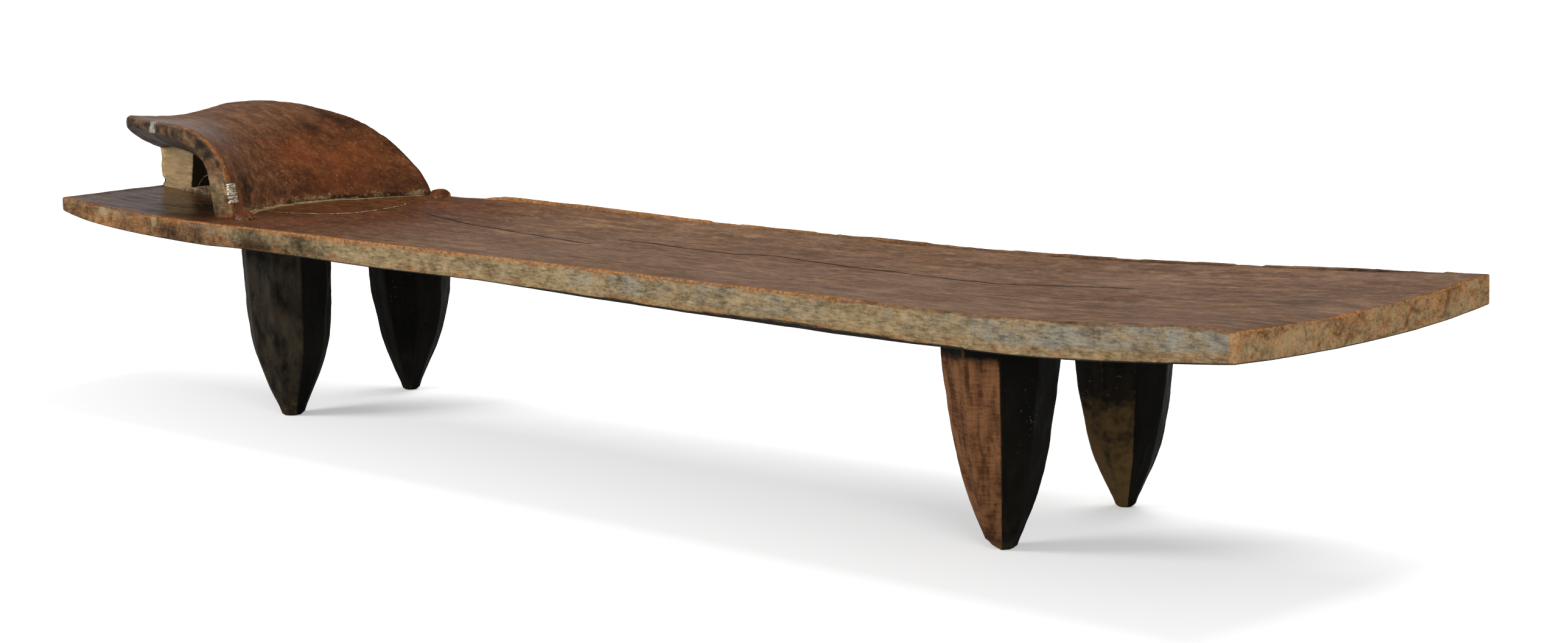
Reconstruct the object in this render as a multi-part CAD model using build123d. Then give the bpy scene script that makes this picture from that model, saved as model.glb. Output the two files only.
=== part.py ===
"""A daybed carved from one log: a long dished plank on four adzed legs, with a curled headrest.

Millimetres. X runs along the bed from the head (-X) to the foot (+X), Y across it from the front
edge (-Y) to the back edge (+Y), and Z up from the floor. The origin is on the floor, under the
middle of the bed's bounding box.
"""

import os
from math import cos, pi, sin

from build123d import *

os.makedirs("parts", exist_ok=True)

# Plan of the plank: a little wider at the foot, with both ends cut slightly out of square.
FRONT_EDGE_X = (-1035.0, 1045.0)
BACK_EDGE_X = (-1075.0, 1075.0)
HALF_WIDTH = (197.0, 217.0)

# Heights of the plank's long edges above the floor, and how its front edge turns up at both ends.
FRONT_EDGE_Z = 277.0
FRONT_EDGE_FALL = 1.5
HEAD_UPTURN_X = -775.0
HEAD_UPTURN_RISE = 12.0
HEAD_UPTURN_POWER = 1.3
FOOT_UPTURN_X = (765.0, 985.0)
FOOT_UPTURN_RISE = 13.0
BACK_EDGE_Z = 266.0
BACK_EDGE_FALL = 8.0
BACK_END_RISE = 23.0
BACK_SAG_FLATNESS = 0.55
BACK_SWELL_X = (430.0, 830.0)
BACK_SWELL_RISE = 5.0
BACK_CORNER_X = (960.0, 1070.0)
BACK_CORNER_DROP = 2.0

# Depth of the dish at the head and along the rest, and the plank's thickness at head and foot.
# The plank is fullest under its middle and thins towards the back edge, less so at the foot.
DISH_DEPTH = (1.0, 6.5)
PLANK_THICKNESS = (27.5, 40.0)
MIDDLE_SWELL = 3.2
MIDDLE_SWELL_POWER = 1.6
BACK_THINNING = (0.28, 0.1)
END_THINNING = 8.0
END_THINNING_LENGTH = 80.0
END_THINNING_POWER = 1.5
STATIONS_ALONG = 21
STATIONS_ACROSS = 5

# Raised rim left standing along the back edge, from near the headrest to the foot end.
# Its section is a list of (inset as a share of the width, lift as a share of the height).
RIM_START_X = -548.0
RIM_RAMP = 26.0
RIM_START_SHARE = 0.4
RIM_HEIGHTS = [
    (-548.0, 10.7),
    (-330.0, 10.3),
    (-60.0, 7.6),
    (60.0, 7.0),
    (430.0, 7.0),
    (780.0, 4.6),
    (1075.0, 4.5),
]
RIM_WIDTH = 17.0
RIM_DEPTH_IN_PLANK = 6.0
RIM_SECTION = [(1.0, -0.35), (0.62, 0.55), (0.3, 1.0), (0.0, 0.9)]
RIM_STATIONS = 18

# Headrest: side views (x, z) of its upper and under face, from the free lip to below the plank's
# surface, along its front edge, its middle and its back edge.
UPPER_FRONT = [(-1045, 398), (-945, 401), (-850, 402), (-770, 395), (-713, 367), (-690, 325), (-673, 258)]
UPPER_MIDDLE = [(-1055, 392), (-990, 393), (-925, 386), (-865, 366), (-815, 335), (-781, 300), (-760, 258)]
UPPER_BACK = [(-1065, 403), (-990, 408), (-915, 401), (-840, 382), (-762, 351), (-700, 310), (-650, 258)]
UNDER_FRONT = [(-1045, 386), (-955, 387), (-870, 385), (-805, 378), (-757, 361), (-737, 330), (-728, 258)]
UNDER_MIDDLE = [(-1055, 349), (-995, 347), (-940, 342), (-893, 330), (-862, 312), (-846, 292), (-838, 258)]
UNDER_BACK = [(-1065, 391), (-995, 394), (-928, 387), (-862, 366), (-802, 335), (-757, 298), (-728, 258)]
HEADREST_ROOT_Y = (-146.0, 199.0)
HEADREST_TIP_Y = (-70.0, 128.0)
TAPER_START_X = -755.0
TAPER_END_X = -1055.0
TAPER_POWER = 1.5

# Rough post under the middle of the lip, and the low sill between it and the headrest.
POST_Y = (-9.0, 64.0)
POST_LEVELS = [(275.0, -1053.0, -980.0), (300.0, -1055.0, -976.0), (366.0, -1052.0, -963.0)]
SILL_Y = (-15.0, 68.0)
SILL_X = (-1000.0, -815.0)
SILL_TOP_Z = (289.0, 301.0)
SILL_BOTTOM_Z = 268.0

# Carved lugs at the two ends of the headrest's root.
LUGS = {
    "front_root_lug": ((-679.0, -134.0, 278.0), (18.0, 12.0, 9.0)),
    "back_root_lug": ((-635.0, 187.0, 276.0), (19.0, 13.0, 10.5)),
}

# Legs: eight adzed faces, tapering in a blunt curve to a small flat foot.
LEG_SIDES = 8
LEG_PROFILE = [(0.0, 12.5), (18.0, 21.0), (50.0, 33.5), (95.0, 47.0), (150.0, 56.5), (262.0, 62.5)]
LEGS = {
    "leg_head_front": (-618.0, -109.0, 1.0),
    "leg_head_back": (-629.0, 117.0, 1.01),
    "leg_foot_front": (672.0, -122.0, 1.04),
    "leg_foot_back": (659.0, 119.0, 0.96),
}

# Wire stitches that close a split in the headrest's front edge.
STITCH_HEIGHTS = [322.0, 316.0, 310.5, 305.5, 300.0]
STITCH_TILTS = [-6.0, 9.0, 4.0, -3.0, -7.0]
STITCH_RADIUS = 7.2
STITCH_WIRE_RADIUS = 1.9
STITCH_CENTRE_Y = -140.5
STITCH_CENTRE_X = -695.0
STITCH_LEAN = 0.28

# Plug let into the front edge of the lip.
PLUG_SIZE = (13.0, 6.0, 15.0)
PLUG_CENTRE = (-903.0, -119.5, 393.0)
PLUG_TURN = -16.0
PLUG_LEAN = 14.0


def mix(start, end, share):
    """Value a given share of the way from start to end."""
    return start + (end - start) * share


def smooth_step(share):
    """Ease a share between 0 and 1, flat at both ends."""
    share = min(max(share, 0.0), 1.0)
    return share * share * (3.0 - 2.0 * share)


def front_edge_height(x):
    """Height of the plank's front upper edge at x."""
    head_share = max(0.0, (HEAD_UPTURN_X - x) / (HEAD_UPTURN_X - FRONT_EDGE_X[0]))
    foot_share = (x - FOOT_UPTURN_X[0]) / (FOOT_UPTURN_X[1] - FOOT_UPTURN_X[0])
    head_rise = HEAD_UPTURN_RISE * head_share**HEAD_UPTURN_POWER
    foot_rise = FOOT_UPTURN_RISE * smooth_step(foot_share)
    return FRONT_EDGE_Z - FRONT_EDGE_FALL * x / FRONT_EDGE_X[1] + head_rise + foot_rise


def back_edge_height(x):
    """Height of the plank's back upper edge at x, under the rim."""
    share = x / BACK_EDGE_X[1]
    tilt = BACK_EDGE_FALL * share * (1.0 - share**2)
    swell = BACK_SWELL_RISE * smooth_step((x - BACK_SWELL_X[0]) / (BACK_SWELL_X[1] - BACK_SWELL_X[0]))
    drop = BACK_CORNER_DROP * smooth_step((x - BACK_CORNER_X[0]) / (BACK_CORNER_X[1] - BACK_CORNER_X[0]))
    rise = BACK_END_RISE * mix(share**2, share**4, BACK_SAG_FLATNESS)
    return BACK_EDGE_Z - tilt + rise + swell - drop


def plank_point(along, across):
    """Point on the plank's upper face; along runs head to foot and across runs front to back."""
    x = mix(mix(*FRONT_EDGE_X, along), mix(*BACK_EDGE_X, along), across)
    half_width = mix(*HALF_WIDTH, along)
    y = mix(-half_width, half_width, across)
    dish = mix(*DISH_DEPTH, smooth_step(along * 2.0)) * 4.0 * across * (1.0 - across)
    z = mix(front_edge_height(x), back_edge_height(x), across) - dish
    return (x, y, z)


def shares(count):
    """Evenly spaced shares from 0 to 1."""
    return [index / (count - 1) for index in range(count)]


def plank_thickness(along, across):
    """Thickness of the plank, which thins out towards its two ends and its back edge."""
    end_gap = min(along, 1.0 - along) * (BACK_EDGE_X[1] - BACK_EDGE_X[0])
    end_share = max(0.0, 1.0 - end_gap / END_THINNING_LENGTH)
    thickness = mix(*PLANK_THICKNESS, along) - END_THINNING * end_share**END_THINNING_POWER
    thickness += MIDDLE_SWELL * sin(pi * along**MIDDLE_SWELL_POWER)
    return thickness * (1.0 - mix(*BACK_THINNING, along) * across)


def solid_between(upper_rows, under_rows):
    """Closed solid between two smooth faces, each through its rows of points."""
    upper = Face.make_surface_from_array_of_points(upper_rows)
    under = Face.make_surface_from_array_of_points(under_rows)
    sides = []
    for edge in upper.edges():
        mate = min(under.edges(), key=lambda other: ((other @ 0.5) - (edge @ 0.5)).length)
        sides.append(Face.make_surface_from_curves(edge, mate))
    return Solid(Shell([upper, under, *sides]))


def make_plank():
    """The dished plank, thicker at the foot and along the front edge."""
    upper_rows = []
    under_rows = []
    for station in shares(STATIONS_ALONG):
        along = 0.5 - 0.5 * cos(pi * station)
        upper = [plank_point(along, across) for across in shares(STATIONS_ACROSS)]
        under = []
        for across, (x, y, z) in zip(shares(STATIONS_ACROSS), upper):
            under.append((x, y, z - plank_thickness(along, across)))
        upper_rows.append(upper)
        under_rows.append(under)
    return solid_between(upper_rows, under_rows)


def rim_height(x):
    """Height of the rim above the plank at x."""
    for (start_x, start_height), (end_x, end_height) in zip(RIM_HEIGHTS, RIM_HEIGHTS[1:]):
        if x <= end_x:
            return mix(start_height, end_height, smooth_step((x - start_x) / (end_x - start_x)))
    return RIM_HEIGHTS[-1][1]


def make_rim(plank):
    """The raised rim on the plank's back edge, ramping up from nothing at its head end."""
    rim_length = BACK_EDGE_X[1] - RIM_START_X
    plank_length = BACK_EDGE_X[1] - BACK_EDGE_X[0]
    upper_rows = []
    under_rows = []
    for station in shares(RIM_STATIONS):
        distance = station * rim_length
        along = (RIM_START_X + distance - BACK_EDGE_X[0]) / plank_length
        ramp = mix(RIM_START_SHARE, 1.0, smooth_step(distance / RIM_RAMP))
        height = ramp * rim_height(RIM_START_X + distance)
        width = 2.0 * mix(*HALF_WIDTH, along)
        upper = []
        under = []
        for inset, lift in RIM_SECTION:
            x, y, z = plank_point(along, 1.0 - inset * RIM_WIDTH / width)
            upper.append((x, y, z + lift * height))
            under.append((x, y, z - RIM_DEPTH_IN_PLANK))
        upper_rows.append(upper)
        under_rows.append(under)
    return solid_between(upper_rows, under_rows) - plank


def headrest_side(x, root_y, tip_y):
    """Y of one side of the headrest at x; the side runs straight, then curves in to the lip."""
    taper = max(0.0, (TAPER_START_X - x) / (TAPER_START_X - TAPER_END_X))
    return mix(root_y, tip_y, min(taper, 1.0) ** TAPER_POWER)


def headrest_rows(front, middle, back):
    """Rows of three points across the headrest, from side views of its front, middle and back."""
    rows = []
    for (front_x, front_z), (middle_x, middle_z), (back_x, back_z) in zip(front, middle, back):
        front_y = headrest_side(front_x, HEADREST_ROOT_Y[0], HEADREST_TIP_Y[0])
        back_y = headrest_side(back_x, HEADREST_ROOT_Y[1], HEADREST_TIP_Y[1])
        middle_y = mix(front_y, back_y, 0.5)
        row = [(front_x, front_y, front_z), (middle_x, middle_y, middle_z), (back_x, back_y, back_z)]
        rows.append(row)
    return rows


def make_headrest():
    """The curled sheet, down to a little below the plank's upper face."""
    upper_rows = headrest_rows(UPPER_FRONT, UPPER_MIDDLE, UPPER_BACK)
    under_rows = headrest_rows(UNDER_FRONT, UNDER_MIDDLE, UNDER_BACK)
    return solid_between(upper_rows, under_rows)


def make_post():
    """The rough post, wider at its head, before it is fitted to its neighbours."""
    depth = POST_Y[1] - POST_Y[0]
    sections = []
    for height, start_x, end_x in POST_LEVELS:
        centre = (mix(start_x, end_x, 0.5), mix(*POST_Y, 0.5), height)
        sections.append(Pos(*centre) * Rectangle(end_x - start_x, depth))
    return loft(sections, ruled=True)


def make_sill():
    """The low sill left in the hollow, rising from the post to the headrest."""
    outline = Polyline(
        (SILL_X[0], SILL_BOTTOM_Z),
        (SILL_X[1], SILL_BOTTOM_Z),
        (SILL_X[1], SILL_TOP_Z[1]),
        (SILL_X[0], SILL_TOP_Z[0]),
        close=True,
    )
    side_view = Plane(origin=(0, SILL_Y[1], 0), x_dir=(1, 0, 0), z_dir=(0, -1, 0))
    return extrude(side_view * make_face(outline), amount=SILL_Y[1] - SILL_Y[0])


def make_lug(centre, size):
    """A rounded lug, as a flattened ball that the plank and the headrest then cut."""
    return Pos(*centre) * scale(Sphere(1.0), by=size)


def make_leg(x, y, girth):
    """One leg with flat adzed faces, up into the plank's thickness."""
    sections = []
    for height, radius in LEG_PROFILE:
        sections.append(Pos(x, y, height) * RegularPolygon(radius * girth, LEG_SIDES))
    return loft(sections, ruled=True)


def make_stitches():
    """Rings of wire, one above the other, through the headrest's front upper arris."""
    rings = []
    for height, tilt in zip(STITCH_HEIGHTS, STITCH_TILTS):
        x = STITCH_CENTRE_X + STITCH_LEAN * (STITCH_HEIGHTS[0] - height)
        ring = Pos(x, STITCH_CENTRE_Y, height) * Rot(tilt, 0.5 * tilt, 0)
        rings.append(ring * Torus(STITCH_RADIUS, STITCH_WIRE_RADIUS))
    return rings


def make_plug():
    """The plug in the lip's front edge, standing a little proud of it."""
    place = Pos(*PLUG_CENTRE) * Rot(0, PLUG_LEAN, PLUG_TURN)
    return place * Box(*PLUG_SIZE)


plank = make_plank()
headrest_blank = make_headrest()
stitches = make_stitches()
plug = make_plug()

headrest = headrest_blank - plank - stitches - plug
post = make_post() - plank - headrest_blank
sill = make_sill() - plank - headrest_blank - post

parts = {
    "deck": plank,
    "back_rim": make_rim(plank),
    "headrest": headrest,
    "headrest_post": post,
    "hollow_sill": sill,
    "lip_plug": plug,
    "repair_stitches": Compound(children=stitches),
}
for name, (centre, size) in LUGS.items():
    parts[name] = make_lug(centre, size) - plank - headrest_blank
for name, (leg_x, leg_y, girth) in LEGS.items():
    parts[name] = make_leg(leg_x, leg_y, girth) - plank

for name, shape in parts.items():
    export_step(shape, f"parts/{name}.step")
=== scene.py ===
"""The look of a daybed carved from one log: adzed and worn wood, cracks, dust and wire.

Every wooden member of the bed is built over its solid from the frame, in metres. A member starts as
an even mesh, is cut and worn by moving its points, and carries painted masks that its finish reads.
"""

import logging
import math
from collections.abc import Callable
from dataclasses import dataclass
from enum import Enum

import bpy
import numpy as np
from mathutils import Matrix, Vector
from mathutils.bvhtree import BVHTree
from numpy.polynomial import chebyshev


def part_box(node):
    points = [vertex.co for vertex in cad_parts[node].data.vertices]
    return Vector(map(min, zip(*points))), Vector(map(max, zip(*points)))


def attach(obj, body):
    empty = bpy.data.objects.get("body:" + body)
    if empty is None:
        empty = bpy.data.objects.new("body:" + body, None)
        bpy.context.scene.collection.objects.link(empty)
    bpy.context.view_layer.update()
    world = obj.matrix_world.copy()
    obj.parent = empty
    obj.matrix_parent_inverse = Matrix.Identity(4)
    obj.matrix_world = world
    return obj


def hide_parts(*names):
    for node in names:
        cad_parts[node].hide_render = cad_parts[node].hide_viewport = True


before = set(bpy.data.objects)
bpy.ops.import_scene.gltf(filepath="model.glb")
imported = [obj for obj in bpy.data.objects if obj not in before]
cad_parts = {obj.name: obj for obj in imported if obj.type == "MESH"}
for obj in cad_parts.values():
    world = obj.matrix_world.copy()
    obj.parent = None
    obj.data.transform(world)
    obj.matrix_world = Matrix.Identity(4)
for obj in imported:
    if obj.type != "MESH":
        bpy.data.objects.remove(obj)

log = logging.getLogger("daybed")
BODY = "root"
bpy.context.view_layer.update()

SMOOTH_ANGLE = math.radians(50.0)
SKY = 1.0
DOWNWARDS = Vector((0.0, 0.0, -1.0))
UP = (0.0, 0.0, 1.0)
DOWN = (0.0, 0.0, -1.0)

Colour = tuple[float, float, float]
Point = tuple[float, float, float]
Array = np.ndarray
Piece = bpy.types.Object
Material = bpy.types.Material
Socket = bpy.types.NodeSocket


# --------------------------------------------------------------------------------------
# Numbers: smooth random fields and small helpers on arrays
# --------------------------------------------------------------------------------------


def ease(values: Array, low: float, high: float) -> Array:
    """Smooth rise from 0 to 1.

    Args:
        values: Numbers to map.
        low: Value that gives 0.
        high: Value that gives 1.

    Returns:
        The mapped numbers.
    """
    share = np.clip((np.asarray(values) - low) / (high - low), 0.0, 1.0)
    return share * share * (3.0 - 2.0 * share)


def fall(values: Array, low: float, high: float) -> Array:
    """Smooth fall from 1 at low to 0 at high."""
    return 1.0 - ease(values, low, high)


def strongest(*masks: Array) -> Array:
    """The highest of several masks at each point."""
    return np.maximum.reduce(np.broadcast_arrays(*masks))


def scatter(cells: Array, seed: int) -> Array:
    """One repeatable random number from 0 to 1 for each integer cell.

    Args:
        cells: Integer cells, one row each.
        seed: Number that picks the pattern.

    Returns:
        One number for each row.
    """
    primes = np.array([73856093, 19349663, 83492791], dtype=np.int64)[: cells.shape[1]]
    mixed = np.bitwise_xor.reduce(cells * primes, axis=1) ^ (seed * 2654435761 % 2**31)
    mixed = (mixed ^ (mixed >> 13)) * 1274126177 % 2**31
    mixed = (mixed ^ (mixed >> 15)) * 668265263 % 2**31
    return ((mixed >> 7) & 0xFFFF) / 65535.0


def cloud(points: Array, size: float | tuple[float, ...], seed: int, octaves: int = 2) -> Array:
    """Soft random field from -1 to 1.

    Args:
        points: Places, one row each.
        size: Size of the largest blobs, or their size along each axis, in metres.
        seed: Number that picks the pattern.
        octaves: How many times finer blobs are added.

    Returns:
        One number for each place.
    """
    total = np.zeros(len(points))
    weight_sum = 0.0
    for octave in range(octaves):
        scaled = points / np.asarray(size) * 2.0**octave + 31.7 * (octave + 1)
        cell = np.floor(scaled).astype(np.int64)
        part = scaled - cell
        part = part * part * (3.0 - 2.0 * part)
        field = np.zeros(len(points))
        for corner in np.ndindex(*([2] * points.shape[1])):
            weight = np.prod(np.where(corner, part, 1.0 - part), axis=1)
            field += weight * scatter(cell + np.array(corner), seed + octave)
        total += (field * 2.0 - 1.0) / 2.0**octave
        weight_sum += 1.0 / 2.0**octave
    return total / weight_sum * 1.4


def adze_marks(places: Array, size: tuple[float, float], seed: int) -> Array:
    """Shallow dishes side by side that meet in ridges, as an adze leaves them.

    Args:
        places: Places on the surface, two numbers each.
        size: Length and width of one mark, in metres.
        seed: Number that picks the pattern.

    Returns:
        0 at the bottom of a mark and about 1 on a ridge, one number for each place.
    """
    scaled = places / np.asarray(size)
    home = np.floor(scaled).astype(np.int64)
    nearest = np.full(len(places), 9.0)
    for step in np.ndindex(3, 3):
        cell = home + np.array(step) - 1
        centre_a = cell[:, 0] + 0.15 + 0.7 * scatter(cell, seed)
        centre_b = cell[:, 1] + 0.15 + 0.7 * scatter(cell, seed + 5)
        squared = (scaled[:, 0] - centre_a) ** 2 + (scaled[:, 1] - centre_b) ** 2
        nearest = np.minimum(nearest, squared - 0.25 * scatter(cell, seed + 9))
    return np.clip((nearest + 0.25) / 0.8, 0.0, 1.3)


def spot(points: Array, centre: Point, reach: Point) -> Array:
    """Soft spot around a place.

    Args:
        points: Places, one row each.
        centre: Middle of the spot.
        reach: Its reach along each axis.

    Returns:
        1 in the middle, falling to 0 at its edge.
    """
    distance = np.linalg.norm((points - np.array(centre)) / np.array(reach), axis=1)
    return fall(distance, 0.35, 1.0)


# --------------------------------------------------------------------------------------
# Meshes: blanks, points in and out, painted masks
# --------------------------------------------------------------------------------------


def select_only(obj: Piece) -> None:
    """Leave one object selected and active."""
    bpy.ops.object.select_all(action="DESELECT")
    obj.select_set(True)
    bpy.context.view_layer.objects.active = obj


def add_primitive(name: str, operator: Callable[..., object], **settings: object) -> Piece:
    """Add a primitive with nothing else selected.

    Args:
        name: The new object's name.
        operator: The operator that adds it.
        settings: The operator's settings.

    Returns:
        The new object.
    """
    bpy.ops.object.select_all(action="DESELECT")
    operator(**settings)
    bpy.context.object.name = name
    return bpy.context.object


def edit_all(obj: Piece, operator: Callable[..., object], **settings: object) -> None:
    """Run one operator of edit mode on a whole mesh.

    Args:
        obj: The mesh.
        operator: The operator.
        settings: Its settings.
    """
    select_only(obj)
    bpy.ops.object.mode_set(mode="EDIT")
    bpy.ops.mesh.select_all(action="SELECT")
    operator(**settings)
    bpy.ops.object.mode_set(mode="OBJECT")


def face_outwards(obj: Piece) -> None:
    """Turn all faces of a closed mesh outwards."""
    edit_all(obj, bpy.ops.mesh.normals_make_consistent, inside=False)


def apply_modifier(obj: Piece, kind: str, **settings: object) -> None:
    """Add a modifier with its settings and apply it.

    Args:
        obj: Object that it works on.
        kind: Blender's name for the modifier type.
        settings: Its settings.
    """
    select_only(obj)
    modifier = obj.modifiers.new(kind.lower(), kind)
    for key, value in settings.items():
        setattr(modifier, key, value)
    bpy.ops.object.modifier_apply(modifier=modifier.name)


def read_rows(items: bpy.types.bpy_prop_collection, key: str, width: int, kind: type) -> Array:
    """Numbers stored on the points or edges of a mesh.

    Args:
        items: The points or edges.
        key: Name of what is read.
        width: Numbers in each row.
        kind: Type of the stored numbers.

    Returns:
        The numbers, one row for each point or edge.
    """
    flat = np.empty(len(items) * width, kind)
    items.foreach_get(key, flat)
    return flat.reshape(-1, width)


def points_of(obj: Piece) -> Array:
    """Places of a mesh's points, one row each."""
    return read_rows(obj.data.vertices, "co", 3, np.float32).astype(float)


def normals_of(obj: Piece) -> Array:
    """Outward directions at a mesh's points, one row each."""
    return read_rows(obj.data.vertex_normals, "vector", 3, np.float32).astype(float)


def edges_of(obj: Piece) -> Array:
    """The two points of each edge, one row each."""
    return read_rows(obj.data.edges, "vertices", 2, np.int32)


def move_points(obj: Piece, points: Array) -> None:
    """Put a mesh's points at new places."""
    obj.data.vertices.foreach_set("co", points.astype(np.float32).ravel())
    obj.data.update()


def neighbour_mean(values: Array, edges: Array) -> Array:
    """Mean of a value over each point's neighbours.

    Args:
        values: One number or row for each point.
        edges: The mesh's edges.

    Returns:
        The means, in the same shape.
    """
    total = np.zeros_like(values)
    count = np.zeros(len(values))
    for start, end in ((0, 1), (1, 0)):
        np.add.at(total, edges[:, start], values[edges[:, end]])
        np.add.at(count, edges[:, start], 1.0)
    count = np.maximum(count, 1.0)
    return total / (count if values.ndim == 1 else count[:, None])


def bend_of(obj: Piece, spread: int = 2) -> Array:
    """How much a mesh bulges at each point.

    Args:
        obj: The mesh.
        spread: How many times the result is shared with the neighbours.

    Returns:
        Above 0 on arrises, below 0 in creases.
    """
    points, normals, edges = points_of(obj), normals_of(obj), edges_of(obj)
    toward = neighbour_mean(points, edges) - points
    lengths = np.linalg.norm(points[edges[:, 0]] - points[edges[:, 1]], axis=1)
    bend = -np.sum(toward * normals, axis=1) / float(np.median(lengths))
    for _ in range(spread):
        bend = 0.5 * bend + 0.5 * neighbour_mean(bend, edges)
    return bend


def paint(obj: Piece, **masks: Array | float) -> None:
    """Store masks on a mesh's points, for its finish to read.

    Args:
        obj: The mesh.
        masks: For each mask's name, one number for each point or for all, kept between 0 and 1.
    """
    for name, values in masks.items():
        layer = obj.data.attributes.get(name) or obj.data.attributes.new(name, "FLOAT", "POINT")
        even = np.broadcast_to(np.clip(values, 0.0, 1.0), len(obj.data.vertices))
        layer.data.foreach_set("value", even.astype(np.float32))


def sink(points: Array, normals: Array, direction: Point, depth: float, limit: Array | float = 1.0) -> Array:
    """Push a hidden face into its neighbour so that no gap shows.

    Args:
        points: Places of the mesh's points.
        normals: Their outward directions.
        direction: The way the hidden face looks.
        depth: How far it is pushed, in metres.
        limit: Mask of the points that may move.

    Returns:
        The new places.
    """
    facing = ease(normals @ np.array(direction), 0.3, 0.7) * limit
    return points + np.outer(facing * depth, np.array(direction))


def cut_edges(obj: Piece, axis: int, cuts: int) -> None:
    """Cut the edges that run along one axis into equal lengths.

    Args:
        obj: The mesh.
        axis: 0, 1 or 2.
        cuts: Number of cuts in each edge.
    """
    points, edges = points_of(obj), edges_of(obj)
    step = np.abs(points[edges[:, 0]] - points[edges[:, 1]])
    across = np.delete(step, axis, axis=1).max(axis=1)
    chosen = (step[:, axis] > 1e-6) & (across < 1e-6)
    select_only(obj)
    bpy.context.tool_settings.mesh_select_mode = (False, True, False)
    obj.data.vertices.foreach_set("select", np.zeros(len(points), bool))
    obj.data.polygons.foreach_set("select", np.zeros(len(obj.data.polygons), bool))
    obj.data.edges.foreach_set("select", chosen)
    bpy.ops.object.mode_set(mode="EDIT")
    bpy.ops.mesh.subdivide(number_cuts=cuts)
    bpy.ops.object.mode_set(mode="OBJECT")


def tube_blank(name: str, sides: int, cuts: tuple[int, int]) -> Piece:
    """Closed unit cylinder with even rings, to be bent into shape.

    Args:
        name: The new object's name.
        sides: Points in each ring.
        cuts: Cuts made in two passes.

    Returns:
        The cylinder, of radius 1 and height 1, with its middle at the origin.
    """
    add = bpy.ops.mesh.primitive_cylinder_add
    tube = add_primitive(name, add, vertices=sides, radius=1.0, depth=1.0, end_fill_type="TRIFAN")
    for number in cuts:
        if number:
            cut_edges(tube, 2, number)
    return tube


def blank_from(node: str, name: str, voxel: float, rounding: int) -> Piece:
    """Even mesh over one solid of the frame, with its arrises a little eased.

    Args:
        node: The solid's name.
        name: Name of the new piece.
        voxel: Size of the new faces, in metres.
        rounding: How many smoothing passes ease the arrises.

    Returns:
        The new object.
    """
    blank = bpy.data.objects.new(name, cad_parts[node].data.copy())
    bpy.context.scene.collection.objects.link(blank)
    blank.data.materials.clear()
    edit_all(blank, bpy.ops.mesh.remove_doubles, threshold=1e-5)
    apply_modifier(blank, "REMESH", mode="VOXEL", voxel_size=voxel)
    apply_modifier(blank, "SMOOTH", factor=0.5, iterations=rounding)
    return blank


def solid_tree(node: str) -> BVHTree:
    """Search tree over one solid of the frame, for probing it with rays."""
    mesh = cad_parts[node].data
    faces = [list(face.vertices) for face in mesh.polygons]
    return BVHTree.FromPolygons([vertex.co for vertex in mesh.vertices], faces)


def top_at(tree: BVHTree, x: float, y: float) -> float | None:
    """Height of a solid's upper face at a place, or None beside it."""
    hit = tree.ray_cast(Vector((x, y, SKY)), DOWNWARDS)[0]
    return hit.z if hit else None


def dress(obj: Piece, finish: Material, slot: str, *nodes: str) -> None:
    """Finish one piece: smooth shading, its material, its body and the solids it stands for.

    Args:
        obj: The piece.
        finish: Its material.
        slot: Not used.
        nodes: The solids that it replaces.
    """
    select_only(obj)
    bpy.ops.object.shade_smooth_by_angle(angle=SMOOTH_ANGLE)
    obj.data.materials.clear()
    obj.data.materials.append(finish)
    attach(obj, BODY)
    if nodes:
        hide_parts(*nodes)
    log.info("%s: %d faces", obj.name, len(obj.data.polygons))


# --------------------------------------------------------------------------------------
# Shader recipes and the effects that the finishes share
# --------------------------------------------------------------------------------------


def tint(colour: Colour) -> tuple[float, float, float, float]:
    """Shader colour, linear and with full alpha, from a screen colour of 0 to 255."""
    shares = [part / 255.0 for part in colour]
    linear = [((s + 0.055) / 1.055) ** 2.4 if s > 10 / 255.0 else s / 12.92 for s in shares]
    return (linear[0], linear[1], linear[2], 1.0)


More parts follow.
